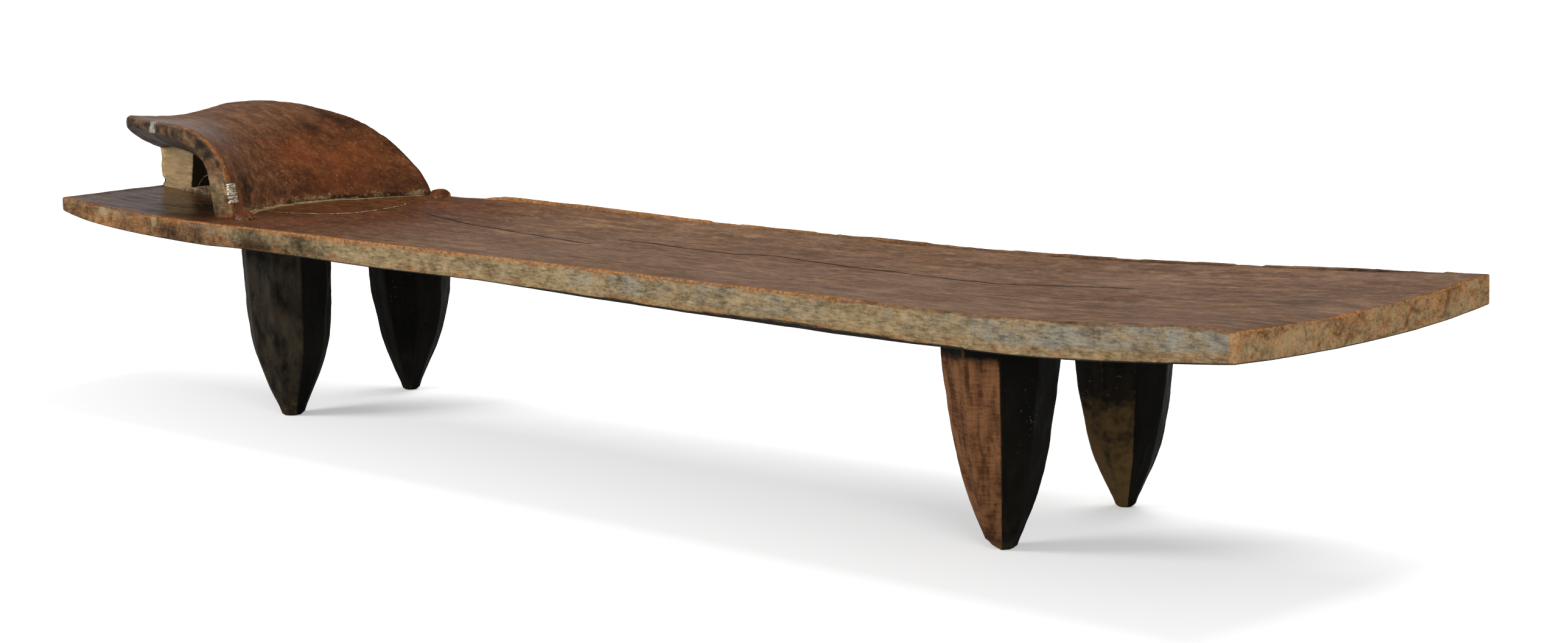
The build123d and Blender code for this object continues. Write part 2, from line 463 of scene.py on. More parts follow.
class Recipe:
    """Adds and joins the nodes of one shader tree."""

    def __init__(self, tree: bpy.types.NodeTree) -> None:
        """Start on a tree."""
        self.tree = tree

    def add(self, kind: str, inputs: dict | None = None, **settings: object) -> bpy.types.Node:
        """Add a node.

        Args:
            kind: Blender's name for the node type.
            inputs: Value or socket for each input, by name or number.
            settings: The node's own settings.

        Returns:
            The node.
        """
        node = self.tree.nodes.new(kind)
        for key, value in settings.items():
            setattr(node, key, value)
        self.feed(node, inputs or {})
        return node

    def feed(self, node: bpy.types.Node, inputs: dict) -> None:
        """Set a node's inputs, or link them where the value is a socket."""
        for key, value in inputs.items():
            if isinstance(value, Socket):
                self.tree.links.new(value, node.inputs[key])
            else:
                node.inputs[key].default_value = value

    def noise(
        self, place: Socket, scale: object, detail: float = 3.0, rough: float = 0.55, twist: float = 0.0
    ) -> Socket:
        """Noise at a scale in cycles per metre, as a value around 0.5."""
        inputs = {"Vector": place, "Scale": scale, "Detail": detail, "Roughness": rough}
        return self.add("ShaderNodeTexNoise", {**inputs, "Distortion": twist}).outputs[0]

    def stretched(self, place: Socket, scale: Point, shift: float = 0.0) -> Socket:
        """Coordinates scaled by axis and shifted."""
        inputs = {"Vector": place, "Scale": scale, "Location": (shift, shift, shift)}
        return self.add("ShaderNodeMapping", inputs).outputs["Vector"]

    def drawn_noise(
        self,
        place: Socket,
        scale: Point,
        detail: float,
        rough: float = 0.55,
        shift: float = 0.0,
        twist: float = 0.0,
    ) -> Socket:
        """Noise with its own scale along each axis.

        Args:
            place: Coordinates.
            scale: Cycles per metre along each axis.
            detail: How many finer layers it has.
            rough: How strong they are.
            shift: Moves the pattern.
            twist: Bends the pattern.

        Returns:
            A value around 0.5.
        """
        return self.noise(self.stretched(place, scale, shift), 1.0, detail, rough, twist)

    def rise(self, value: Socket, low: object, high: object) -> Socket:
        """Smooth rise of a value from 0 at low to 1 at high."""
        inputs = {"Value": value, "From Min": low, "From Max": high}
        return self.add("ShaderNodeMapRange", inputs, interpolation_type="SMOOTHSTEP").outputs[0]

    def span(self, value: Socket, start: float, end: float) -> Socket:
        """A value from 0 to 1 mapped onto start to end."""
        inputs = {"Value": value, "To Min": start, "To Max": end}
        return self.add("ShaderNodeMapRange", inputs).outputs[0]

    def math(self, operation: str, first: object, second: object) -> Socket:
        """Arithmetic on two values."""
        return self.add("ShaderNodeMath", {0: first, 1: second}, operation=operation).outputs[0]

    def times(self, first: object, second: object) -> Socket:
        """Product of two values."""
        return self.math("MULTIPLY", first, second)

    def plus(self, first: object, second: object) -> Socket:
        """Sum of two values."""
        return self.math("ADD", first, second)

    def mix(self, share: object, base: object, over: object, blend: str = "MIX") -> Socket:
        """Mix two colours by a share."""
        inputs = {0: share, 6: base, 7: over}
        return self.add("ShaderNodeMix", inputs, data_type="RGBA", blend_type=blend).outputs[2]

    def lay(
        self, base: Socket, over: Colour, share: Socket, strength: float | None = None, blend: str = "MIX"
    ) -> Socket:
        """Lay a screen colour over another by a share.

        Args:
            base: The colour so far.
            over: The colour on top, of 0 to 255.
            share: Where it lies.
            strength: How much of it shows there, all of it if None.
            blend: How the two are mixed.

        Returns:
            The new colour.
        """
        share = share if strength is None else self.times(share, strength)
        return self.mix(share, base, tint(over), blend)

    def group(self, tree: bpy.types.NodeTree, **inputs: object) -> bpy.types.Node:
        """Place a node group with its inputs."""
        return self.add("ShaderNodeGroup", inputs, node_tree=tree)


class Effect(Recipe):
    """Recipe on a new shader group with named inputs and outputs."""

    def __init__(self, name: str, inputs: dict[str, float | None], *outputs: str) -> None:
        """Make the group.

        Args:
            name: Its name.
            inputs: Default for each input; None makes a vector input.
            outputs: Names of its value outputs.
        """
        super().__init__(bpy.data.node_groups.new(name, "ShaderNodeTree"))
        sockets = self.tree.interface
        for key, default in inputs.items():
            kind = "NodeSocketVector" if default is None else "NodeSocketFloat"
            socket = sockets.new_socket(name=key, in_out="INPUT", socket_type=kind)
            if default is not None:
                socket.default_value = default
        for key in outputs:
            sockets.new_socket(name=key, in_out="OUTPUT", socket_type="NodeSocketFloat")
        self.given = self.add("NodeGroupInput").outputs
        self.result = self.add("NodeGroupOutput")

    def give(self, **values: Socket) -> bpy.types.NodeTree:
        """Link the group's outputs and hand over its tree."""
        self.feed(self.result, values)
        return self.tree


@dataclass(frozen=True)
class WoodEffects:
    """The effects that all the wooden finishes share, each a shader group."""

    grain: bpy.types.NodeTree
    patches: bpy.types.NodeTree
    ragged: bpy.types.NodeTree
    scratches: bpy.types.NodeTree

    @classmethod
    def build(cls) -> "WoodEffects":
        """Make the four groups once."""
        return cls(cls.make_grain(), cls.make_patches(), cls.make_ragged(), cls.make_scratches())

    @staticmethod
    def make_grain() -> bpy.types.NodeTree:
        """Grain along X: soft streaks, short dark pores and a height."""
        wood = Effect("log_grain", {"Vector": None, "Shift": 0.0}, "Streaks", "Pores", "Height")
        place = wood.add("ShaderNodeVectorMath", {0: wood.given["Vector"], 1: wood.given["Shift"]}).outputs[0]
        broad = wood.drawn_noise(place, (5.0, 56.0, 56.0), 5.0, 0.62, twist=0.4)
        fine = wood.drawn_noise(place, (42.0, 340.0, 340.0), 4.0, 0.7)
        streaks = wood.plus(wood.times(broad, 0.5), wood.times(fine, 0.5))
        dashes = wood.drawn_noise(place, (62.0, 820.0, 820.0), 2.0, 0.5, 3.0)
        crowded = wood.noise(place, 26.0, 4.0, 0.6)
        pores = wood.rise(wood.plus(dashes, wood.times(crowded, 0.3)), 0.72, 0.84)
        height = wood.math("SUBTRACT", wood.times(fine, 0.5), wood.times(pores, 0.6))
        return wood.give(Streaks=wood.rise(streaks, 0.36, 0.64), Pores=pores, Height=height)

    @staticmethod
    def make_patches() -> bpy.types.NodeTree:
        """Soft-edged patches of a given size and coverage."""
        inputs = {"Vector": None, "Scale": 10.0, "Coverage": 0.5, "Softness": 0.12}
        patch = Effect("patches", inputs, "Mask")
        field = patch.noise(patch.given["Vector"], patch.given["Scale"], 5.0, 0.6)
        reach = {"Value": field, "From Min": 0.25, "From Max": 0.75}
        spread = patch.add("ShaderNodeMapRange", reach).outputs[0]
        middle = patch.math("SUBTRACT", 1.0, patch.given["Coverage"])
        low = patch.math("SUBTRACT", middle, patch.given["Softness"])
        high = patch.plus(middle, patch.given["Softness"])
        return patch.give(Mask=patch.rise(spread, low, high))

    @staticmethod
    def make_ragged() -> bpy.types.NodeTree:
        """A painted mask with its edge broken up by noise."""
        inputs = {"Vector": None, "Mask": 0.0, "Scale": 90.0, "Breakup": 0.6, "Softness": 0.15}
        edge = Effect("ragged_mask", inputs, "Mask")
        field = edge.noise(edge.given["Vector"], edge.given["Scale"], 5.0, 0.65)
        offset = edge.times(edge.math("SUBTRACT", field, 0.5), edge.given["Breakup"])
        value = edge.plus(edge.given["Mask"], edge.times(offset, 2.0))
        low = edge.math("SUBTRACT", 0.5, edge.given["Softness"])
        high = edge.plus(0.5, edge.given["Softness"])
        gate = edge.rise(edge.given["Mask"], 0.02, 0.25)
        return edge.give(Mask=edge.times(edge.rise(value, low, high), gate))

    @staticmethod
    def make_scratches() -> bpy.types.NodeTree:
        """Thin pale scratches, mostly along X and leaning across it."""
        mark = Effect("scratches", {"Vector": None, "Amount": 0.5}, "Mask")
        found = []
        for turn, shift in ((0.35, 0.0), (-0.25, 7.0)):
            inputs = {"Vector": mark.given["Vector"], "Rotation": (0.0, turn, turn)}
            turned = mark.add("ShaderNodeMapping", inputs).outputs[0]
            lines = mark.drawn_noise(turned, (14.0, 300.0, 300.0), 1.0, 0.4, shift)
            found.append(mark.rise(lines, 0.7, 0.76))
        sparse = mark.rise(mark.noise(mark.given["Vector"], 16.0, 2.0), 0.52, 0.7)
        both = mark.times(mark.math("MAXIMUM", found[0], found[1]), sparse)
        return mark.give(Mask=mark.times(both, mark.given["Amount"]))


class Surface(Recipe):
    """Recipe on a new material, with the object's coordinates and the shared effects at hand."""

    def __init__(self, name: str, effects: WoodEffects) -> None:
        """Make the material with a Principled shader."""
        self.material = bpy.data.materials.new(name)
        self.material.use_nodes = True
        super().__init__(self.material.node_tree)
        self.shader = self.tree.nodes["Principled BSDF"]
        self.effects = effects
        self.place = self.add("ShaderNodeTexCoord").outputs["Object"]

    def mask(self, name: str) -> Socket:
        """A mask painted on the piece."""
        return self.add("ShaderNodeAttribute", attribute_name=name).outputs["Fac"]

    def ragged(self, mask: str, scale: float, breakup: float, softness: float) -> Socket:
        """A painted mask with a ragged edge."""
        inputs = {"Vector": self.place, "Mask": self.mask(mask), "Scale": scale}
        return self.group(self.effects.ragged, **inputs, Breakup=breakup, Softness=softness).outputs[0]

    def patches(self, scale: float, coverage: float, softness: float, place: Socket | None = None) -> Socket:
        """Soft-edged patches."""
        inputs = {"Vector": place or self.place, "Scale": scale, "Coverage": coverage}
        return self.group(self.effects.patches, **inputs, Softness=softness).outputs[0]

    def scratches(self, amount: float) -> Socket:
        """Thin scratches."""
        return self.group(self.effects.scratches, Vector=self.place, Amount=amount).outputs[0]

    def fibres(self, scale: Point, detail: float, rough: float = 0.55, shift: float = 0.0) -> Socket:
        """Noise on the piece with its own scale along each axis."""
        return self.drawn_noise(self.place, scale, detail, rough, shift)

    def relief(self, height: Socket, strength: float, depth: float, under: Socket | None = None) -> Socket:
        """Normal of a fine relief, laid over another normal if there is one."""
        inputs = {"Height": height, "Strength": strength, "Distance": depth}
        return self.add("ShaderNodeBump", inputs | ({"Normal": under} if under else {})).outputs[0]

    def finish(self, inputs: dict) -> Material:
        """Set the shader's inputs and hand over the material."""
        self.feed(self.shader, inputs)
        return self.material


# --------------------------------------------------------------------------------------
# Finishes
# --------------------------------------------------------------------------------------


@dataclass(frozen=True)
class CarvedWood:
    """The polished, worn and weathered wood of the plank, rim and headrest."""

    deep: Colour = (80, 56, 38)
    body: Colour = (132, 99, 72)
    light: Colour = (168, 132, 98)
    violet: Colour = (132, 108, 94)
    ruddy: Colour = (190, 140, 86)
    red: Colour = (130, 63, 28)
    haze: Colour = (234, 228, 222)
    dash: Colour = (56, 38, 26)
    pore: Colour = (34, 22, 15)
    # Near-black used both for soot and for painted shade.
    soot: Colour = (20, 16, 11)
    olive: Colour = (174, 151, 112)
    olive_dark: Colour = (92, 76, 54)
    blue: Colour = (150, 154, 148)
    blue_dark: Colour = (84, 86, 84)
    rust: Colour = (186, 118, 60)
    rust_dark: Colour = (110, 66, 34)
    hole: Colour = (40, 32, 22)
    cut_line: Colour = (56, 38, 24)
    pale: Colour = (214, 192, 146)
    orange: Colour = (200, 136, 74)
    orange_dark: Colour = (124, 78, 38)
    ember: Colour = (184, 84, 48)
    dust: Colour = (172, 152, 112)
    crack: Colour = (10, 7, 5)

    def build(self, effects: WoodEffects) -> Material:
        """Make the material from the shared effects and the painted masks."""
        wood = Surface("carved_wood", effects)
        grain = wood.group(effects.grain, Vector=wood.place).outputs
        side = wood.ragged("grey", 90.0, 0.4, 0.3)
        colour = wood.mix(side, self.polished(wood, grain), self.weathered(wood))
        # Soot and painted shade: the near-black is laid by a mask that also darkens the shaded underside, the
        # lower bevel and the hollow.
        colour = wood.lay(colour, self.soot, wood.ragged("soot", 105.0, 0.42, 0.42), 0.95)
        patina = wood.rise(wood.noise(wood.place, 260.0, 4.0, 0.65), 0.36, 0.62)
        worn = wood.mix(patina, tint(self.orange_dark), tint(self.orange))
        worn = wood.lay(worn, self.ember, wood.mask("ember"), 0.8)
        wear = wood.times(wood.ragged("wear", 240.0, 0.45, 0.36), 0.8)
        colour = wood.mix(wear, colour, worn)
        marks = wood.times(wood.scratches(0.4), wood.mask("scratch"))
        colour = wood.lay(colour, self.pale, marks)
        dust = wood.ragged("dust", 210.0, 0.85, 0.3)
        colour = wood.lay(colour, self.dust, dust, 0.6)
        colour = wood.lay(colour, self.crack, wood.rise(wood.mask("crack"), 0.12, 0.5))
        dull = wood.math("MAXIMUM", dust, wood.mask("crack"))
        return wood.finish({"Base Color": colour, **self.gloss(wood, grain, side, dull)})

    def polished(self, wood: Surface, grain: bpy.types.NodeOutputs) -> Socket:
        """Colour of the handled wood: streaks, mottling, reddish places, a painted grey-violet sheen and dark
        pores.

        Args:
            wood: Recipe on the material.
            grain: What the grain group gives.

        Returns:
            The colour.
        """
        colour = wood.mix(grain["Streaks"], tint(self.deep), tint(self.body))
        mottle = wood.fibres((26.0, 80.0, 80.0), 9.0, 0.76, 2.0)
        colour = wood.lay(colour, self.light, wood.rise(mottle, 0.48, 0.68), 0.7)
        colour = wood.lay(colour, self.deep, wood.rise(mottle, 0.5, 0.34), 0.6)
        # Painted sheen: a grey-violet colour laid where the mask says, in place of a reflection of the pale
        # surroundings.
        violet = wood.times(wood.patches(7.0, 0.5, 0.3), wood.mask("violet"))
        colour = wood.lay(colour, self.violet, violet, 0.6)
        colour = wood.lay(colour, self.ruddy, wood.mask("red"), blend="MULTIPLY")
        colour = wood.lay(colour, self.red, wood.ragged("ember", 22.0, 0.6, 0.45), 0.45)
        flat = wood.mask("level")
        haze = wood.rise(wood.fibres((4.5, 9.0, 9.0), 6.0, 0.62, 11.0), 0.38, 0.62)
        colour = wood.lay(colour, self.haze, wood.times(haze, flat), blend="MULTIPLY")
        dashes = wood.rise(wood.fibres((75.0, 330.0, 330.0), 3.0, 0.6, 6.0), 0.55, 0.68)
        colour = wood.lay(colour, self.dash, wood.times(dashes, flat), 0.5)
        pale = wood.rise(wood.fibres((60.0, 210.0, 240.0), 6.0, 0.75, 4.0), 0.52, 0.66)
        colour = wood.lay(colour, self.light, wood.times(pale, flat), 0.35)
        colour = wood.lay(colour, self.pore, grain["Pores"], 0.28)
        grit = wood.noise(wood.place, 210.0, 5.0, 0.72)
        colour = wood.lay(colour, self.deep, wood.rise(grit, 0.48, 0.34), 0.4)
        return wood.lay(colour, self.light, wood.rise(grit, 0.57, 0.7), 0.45)

    def weathered(self, wood: Surface) -> Socket:
        """Colour of the dry grey-olive face, with rust, blue, flakes, holes and adze lines."""
        fibres = wood.times(wood.fibres((70.0, 380.0, 380.0), 5.0, 0.7), 0.38)
        chops = wood.times(wood.fibres((150.0, 120.0, 150.0), 5.0, 0.7, 5.0), 0.16)
        blotch = wood.times(wood.fibres((48.0, 80.0, 80.0), 7.0, 0.75, 8.0), 0.46)
        tone = wood.rise(wood.plus(wood.plus(fibres, chops), blotch), 0.36, 0.62)
        dry = wood.mix(tone, tint(self.olive_dark), tint(self.olive))
        stains = (
            (self.rust_dark, self.rust, wood.ragged("rust", 55.0, 0.9, 0.35)),
            (self.blue_dark, self.blue, wood.ragged("blue", 42.0, 0.85, 0.35)),
        )
        for dark, light, mask in stains:
            stained = wood.mix(tone, tint(dark), tint(light))
            dry = wood.mix(wood.times(mask, 0.6), dry, stained)
        flakes = wood.rise(wood.fibres((90.0, 420.0, 420.0), 2.0, shift=9.0), 0.64, 0.72)
        dry = wood.lay(dry, self.pale, flakes, 0.32)
        holes = wood.rise(wood.fibres((110.0, 300.0, 300.0), 3.0, shift=4.0), 0.35, 0.28)
        dry = wood.lay(dry, self.hole, holes, 0.4)
        bent = wood.noise(wood.place, 26.0)
        wide = wood.stretched(wood.place, (0.0, 21.0, 30.0))
        warped = wood.add("ShaderNodeVectorMath", {0: wide, 1: bent}).outputs[0]
        inputs = {"Vector": warped, "Scale": 1.0}
        cuts = wood.add("ShaderNodeTexVoronoi", inputs, feature="DISTANCE_TO_EDGE").outputs[0]
        lines = wood.times(wood.rise(cuts, 0.1, 0.01), wood.rise(bent, 0.42, 0.58))
        return wood.lay(dry, self.cut_line, wood.times(lines, wood.mask("scallop")), 0.55)

    def gloss(self, wood: Surface, grain: bpy.types.NodeOutputs, side: Socket, dull: Socket) -> dict:
        """How the surface shines and its fine relief.

        Args:
            wood: Recipe on the material.
            grain: What the grain group gives.
            side: Mask of the dry face.
            dull: Mask of dust and cracks.

        Returns:
            The shader's inputs.
        """
        smudges = wood.noise(wood.place, 34.0, 5.0, 0.65)
        gloss = wood.mask("gloss")
        rough = wood.math("SUBTRACT", wood.plus(wood.times(smudges, 0.4), 0.42), wood.times(gloss, 0.33))
        rough = wood.plus(rough, wood.times(side, 0.35))
        relief = wood.times(grain["Height"], 0.6)
        chips = wood.fibres((120.0, 240.0, 240.0), 6.0, 0.65)
        relief = wood.plus(relief, wood.times(chips, wood.span(side, 0.25, 1.8)))
        swell = wood.times(wood.fibres((16.0, 60.0, 60.0), 2.0, 0.5, 6.0), wood.mask("ripple"))
        return {
            "Roughness": wood.math("MAXIMUM", rough, wood.times(dull, 0.9)),
            "Specular IOR Level": 0.16,
            "Coat Roughness": 0.34,
            "Coat Weight": wood.times(wood.times(gloss, smudges), 0.9),
            "Normal": wood.relief(swell, 1.0, 0.007, wood.relief(relief, 0.6, 0.0009)),
        }


@dataclass(frozen=True)
class RawWood:
    """Unpolished pale wood of the post and the sill."""

    light: Colour = (204, 176, 130)
    shade: Colour = (152, 124, 86)
    patch: Colour = (156, 130, 92)
    speck: Colour = (44, 36, 26)

    def build(self, effects: WoodEffects) -> Material:
        """Make the material."""
        wood = Surface("raw_wood", effects)
        grain = wood.group(effects.grain, Vector=wood.place, Shift=3.7).outputs
        colour = wood.mix(grain["Streaks"], tint(self.shade), tint(self.light))
        colour = wood.lay(colour, self.patch, wood.patches(45.0, 0.45, 0.25), 0.5)
        specks = wood.rise(wood.fibres((150.0, 500.0, 500.0), 3.0), 0.62, 0.74)
        colour = wood.lay(colour, self.speck, specks, 0.6)
        # Painted shade with some soot: this mask darkens the post and the sill where the hollow under the lip
        # is in shade.
        colour = wood.lay(colour, self.speck, wood.ragged("soot", 120.0, 0.6, 0.2), 0.9)
        rough = wood.relief(wood.fibres((90.0, 260.0, 260.0), 5.0, 0.65), 0.8, 0.002)
        inputs = {"Base Color": colour, "Roughness": 0.85, "Specular IOR Level": 0.25}
        return wood.finish({**inputs, "Normal": rough})


@dataclass(frozen=True)
class SootedWood:
    """Smoke-black wood of the legs, bare and brown where the black has worn off; the brown stays on the lit
    side, so the black of the far faces is partly painted shade.
    """

    black: Colour = (7, 7, 5)
    brown: Colour = (68, 59, 47)
    bare: Colour = (128, 87, 57)
    bare_dark: Colour = (72, 44, 26)
    tan: Colour = (108, 84, 48)
    rubbed: Colour = (112, 78, 48)
    scratch: Colour = (120, 104, 82)

    def build(self, effects: WoodEffects) -> Material:
        """Make the material."""
        wood = Surface("sooted_wood", effects)
        mottled = wood.patches(58.0, 0.55, 0.45, wood.stretched(wood.place, (1.0, 1.0, 0.4)))
        colour = wood.mix(wood.times(mottled, wood.mask("scuff")), tint(self.black), tint(self.brown))
        fibres = wood.fibres((60.0, 60.0, 320.0), 5.0, 0.68)
        stains = wood.fibres((95.0, 95.0, 15.0), 6.0, 0.65, 2.0)
        both = wood.plus(wood.times(fibres, 0.35), wood.times(stains, 0.65))
        bare = wood.mix(wood.rise(both, 0.38, 0.6), tint(self.bare_dark), tint(self.bare))
        bare_mask = wood.ragged("bare", 38.0, 0.35, 0.3)
        colour = wood.mix(bare_mask, colour, bare)
        colour = wood.lay(colour, self.tan, wood.ragged("tan", 75.0, 0.7, 0.35), 0.7)
        colour = wood.lay(colour, self.rubbed, wood.ragged("wear", 140.0, 0.9, 0.2), 0.5)
        colour = wood.lay(colour, self.scratch, wood.scratches(0.3))
        rough = wood.plus(wood.times(wood.math("MAXIMUM", bare_mask, mottled), 0.25), 0.52)
        relief = wood.plus(wood.times(fibres, 0.5), wood.noise(wood.place, 190.0, 4.0))
        inputs = {"Base Color": colour, "Roughness": rough, "Specular IOR Level": 0.07}
        return wood.finish({**inputs, "Normal": wood.relief(relief, 0.6, 0.0009)})


@dataclass(frozen=True)
class IronWire:
    """Dull iron wire, rubbed bright where it stands proud."""

    bright: Colour = (226, 216, 198)
    dull: Colour = (126, 110, 86)

    def build(self, effects: WoodEffects) -> Material:
        """Make the material."""
        wire = Surface("iron_wire", effects)
        tarnish = wire.patches(190.0, 0.45, 0.2)
        colour = wire.mix(tarnish, tint(self.bright), tint(self.dull))
        relief = wire.relief(wire.noise(wire.place, 700.0), 0.4, 0.0004)
        inputs = {"Base Color": colour, "Roughness": wire.span(tarnish, 0.28, 0.6)}
        return wire.finish({**inputs, "Metallic": 0.45, "Normal": relief})


@dataclass(frozen=True)
class DryDust:
    """Dry grey or pale stuff: the plug, lodged dust and loose fibres."""

    name: str
    light: Colour
    shade: Colour

    def build(self, effects: WoodEffects) -> Material:
        """Make the material."""
        dust = Surface(self.name, effects)
        colour = dust.mix(dust.patches(260.0, 0.5, 0.3), tint(self.shade), tint(self.light))
        relief = dust.relief(dust.noise(dust.place, 500.0), 0.6, 0.0006)
        return dust.finish({"Base Color": colour, "Roughness": 0.92, "Normal": relief})


@dataclass(frozen=True)
class Finishes:
    """All the finishes, built once."""

    carved: Material
    raw: Material
    sooted: Material
    wire: Material
    plug: Material
    dust: Material

    @classmethod
    def build(cls) -> "Finishes":
        """Build every finish from one set of effects."""
        kinds = (
            CarvedWood(),
            RawWood(),
            SootedWood(),
            IronWire(),
            DryDust("grey_plug", (168, 164, 154), (116, 110, 98)),
            DryDust("lodged_dust", (190, 174, 138), (118, 98, 66)),
        )
        effects = WoodEffects.build()
        return cls(*(kind.build(effects) for kind in kinds))


# --------------------------------------------------------------------------------------
# The plank
# --------------------------------------------------------------------------------------


@dataclass
class Crack:
    """A drying crack that follows the grain of the plank."""

    path: tuple[tuple[float, float], ...]
    width: float = 0.0029
    depth: float = 0.0009
    wander: float = 0.0012
    start_taper: float = 0.08
    end_taper: float = 0.1

    def centre(self, x: Array) -> Array:
        """Y of the crack at each X."""
        return np.interp(x, *zip(*self.path)) + self.wander * cloud(x[:, None], 0.03, 77, 3)

    def opening(self, x: Array, y: Array) -> Array:
        """How far into the crack each place is, from 0 at its lips to 1 in its middle."""
        start, end = self.path[0][0], self.path[-1][0]
        taper = ease(x, start, start + self.start_taper) * fall(x, end - self.end_taper, end)
        strength = taper * (0.8 + 0.3 * cloud(x[:, None], 0.12, 41))
        inside = np.clip(1.0 - np.abs(y - self.centre(x)) / self.width, 0.0, 1.0)
        return inside**0.7 * np.clip(strength, 0.0, 1.0)


def plan_point(corners: Array, along: object, across: object) -> tuple[object, object]:
    """X and Y at shares along and across the plank's plan.

    Args:
        corners: Front head, front foot, back head and back foot corners.
        along: Share from head to foot.
        across: Share from front to back.

    Returns:
        X and Y.
    """
    front = corners[0][:, None] * (1 - along) + corners[1][:, None] * along
    back = corners[2][:, None] * (1 - along) + corners[3][:, None] * along
    place = front * (1 - across) + back * across
    if np.ndim(along) == 0:
        return float(place[0, 0]), float(place[1, 0])
    return place[0], place[1]


def plan_corners(node: str) -> Array:
    """The four corners of a solid's plan: front head, front foot, back head, back foot."""
    points = points_of(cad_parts[node])[:, :2]
    ways = ((-1.0, -1.0), (1.0, -1.0), (-1.0, 1.0), (1.0, 1.0))
    return np.array([points[np.argmax(points @ np.array(way))] for way in ways])


@dataclass
class HeightSheet:
    """Smooth sheet fitted to the upper or under face of the plank's solid."""

    corners: Array
    from_above: bool
    inset: float = 0.004
    grid: tuple[int, int] = (70, 11)
    degree: tuple[int, int] = (12, 4)

    def __post_init__(self) -> None:
        """Probe the solid and fit the sheet."""
        tree = solid_tree("deck")
        way = -SKY if self.from_above else SKY
        samples = []
        for along in np.linspace(self.inset, 1.0 - self.inset, self.grid[0]):
            for across in np.linspace(2 * self.inset, 1.0 - 2 * self.inset, self.grid[1]):
                x, y = plan_point(self.corners, along, across)
                hit = tree.ray_cast(Vector((x, y, -way)), Vector((0.0, 0.0, way)))[0]
                if hit is not None:
                    samples.append((along, across, hit.z))
        along, across, height = np.array(samples).T
        self.terms = np.linalg.lstsq(self.shapes(along, across), height, rcond=None)[0]

    def shapes(self, along: Array, across: Array) -> Array:
        """Value at each place of every smooth shape that the sheet is a sum of."""
        return chebyshev.chebvander2d(2 * along - 1, 2 * across - 1, self.degree)

    def height(self, along: Array, across: Array) -> Array:
        """Height of the sheet at shares along and across the plank."""
        return self.shapes(along, across) @ self.terms


@dataclass
class PlankPlaces:
    """Where each point of the plank lies: shares of the plan, faces, and distances in metres."""

    along: Array
    across: Array
    top: Array
    bottom: Array
    at_end: Array
    long_gap: Array
    end_gap: Array
    drop: Array
    lift: Array

    @property
    def gap(self) -> Array:
        """Distance from the nearest edge of the plan."""
        return np.minimum(self.long_gap, self.end_gap)

    @property
    def wall(self) -> Array:
        """Points between the upper and the under face."""
        return ~self.top & ~self.bottom

    @property
    def front(self) -> Array:
        """Points nearest to the front edge."""
        return (self.across < 0.5) & ~self.at_end

    @property
    def back(self) -> Array:
        """Points nearest to the back edge."""
        return (self.across > 0.5) & ~self.at_end


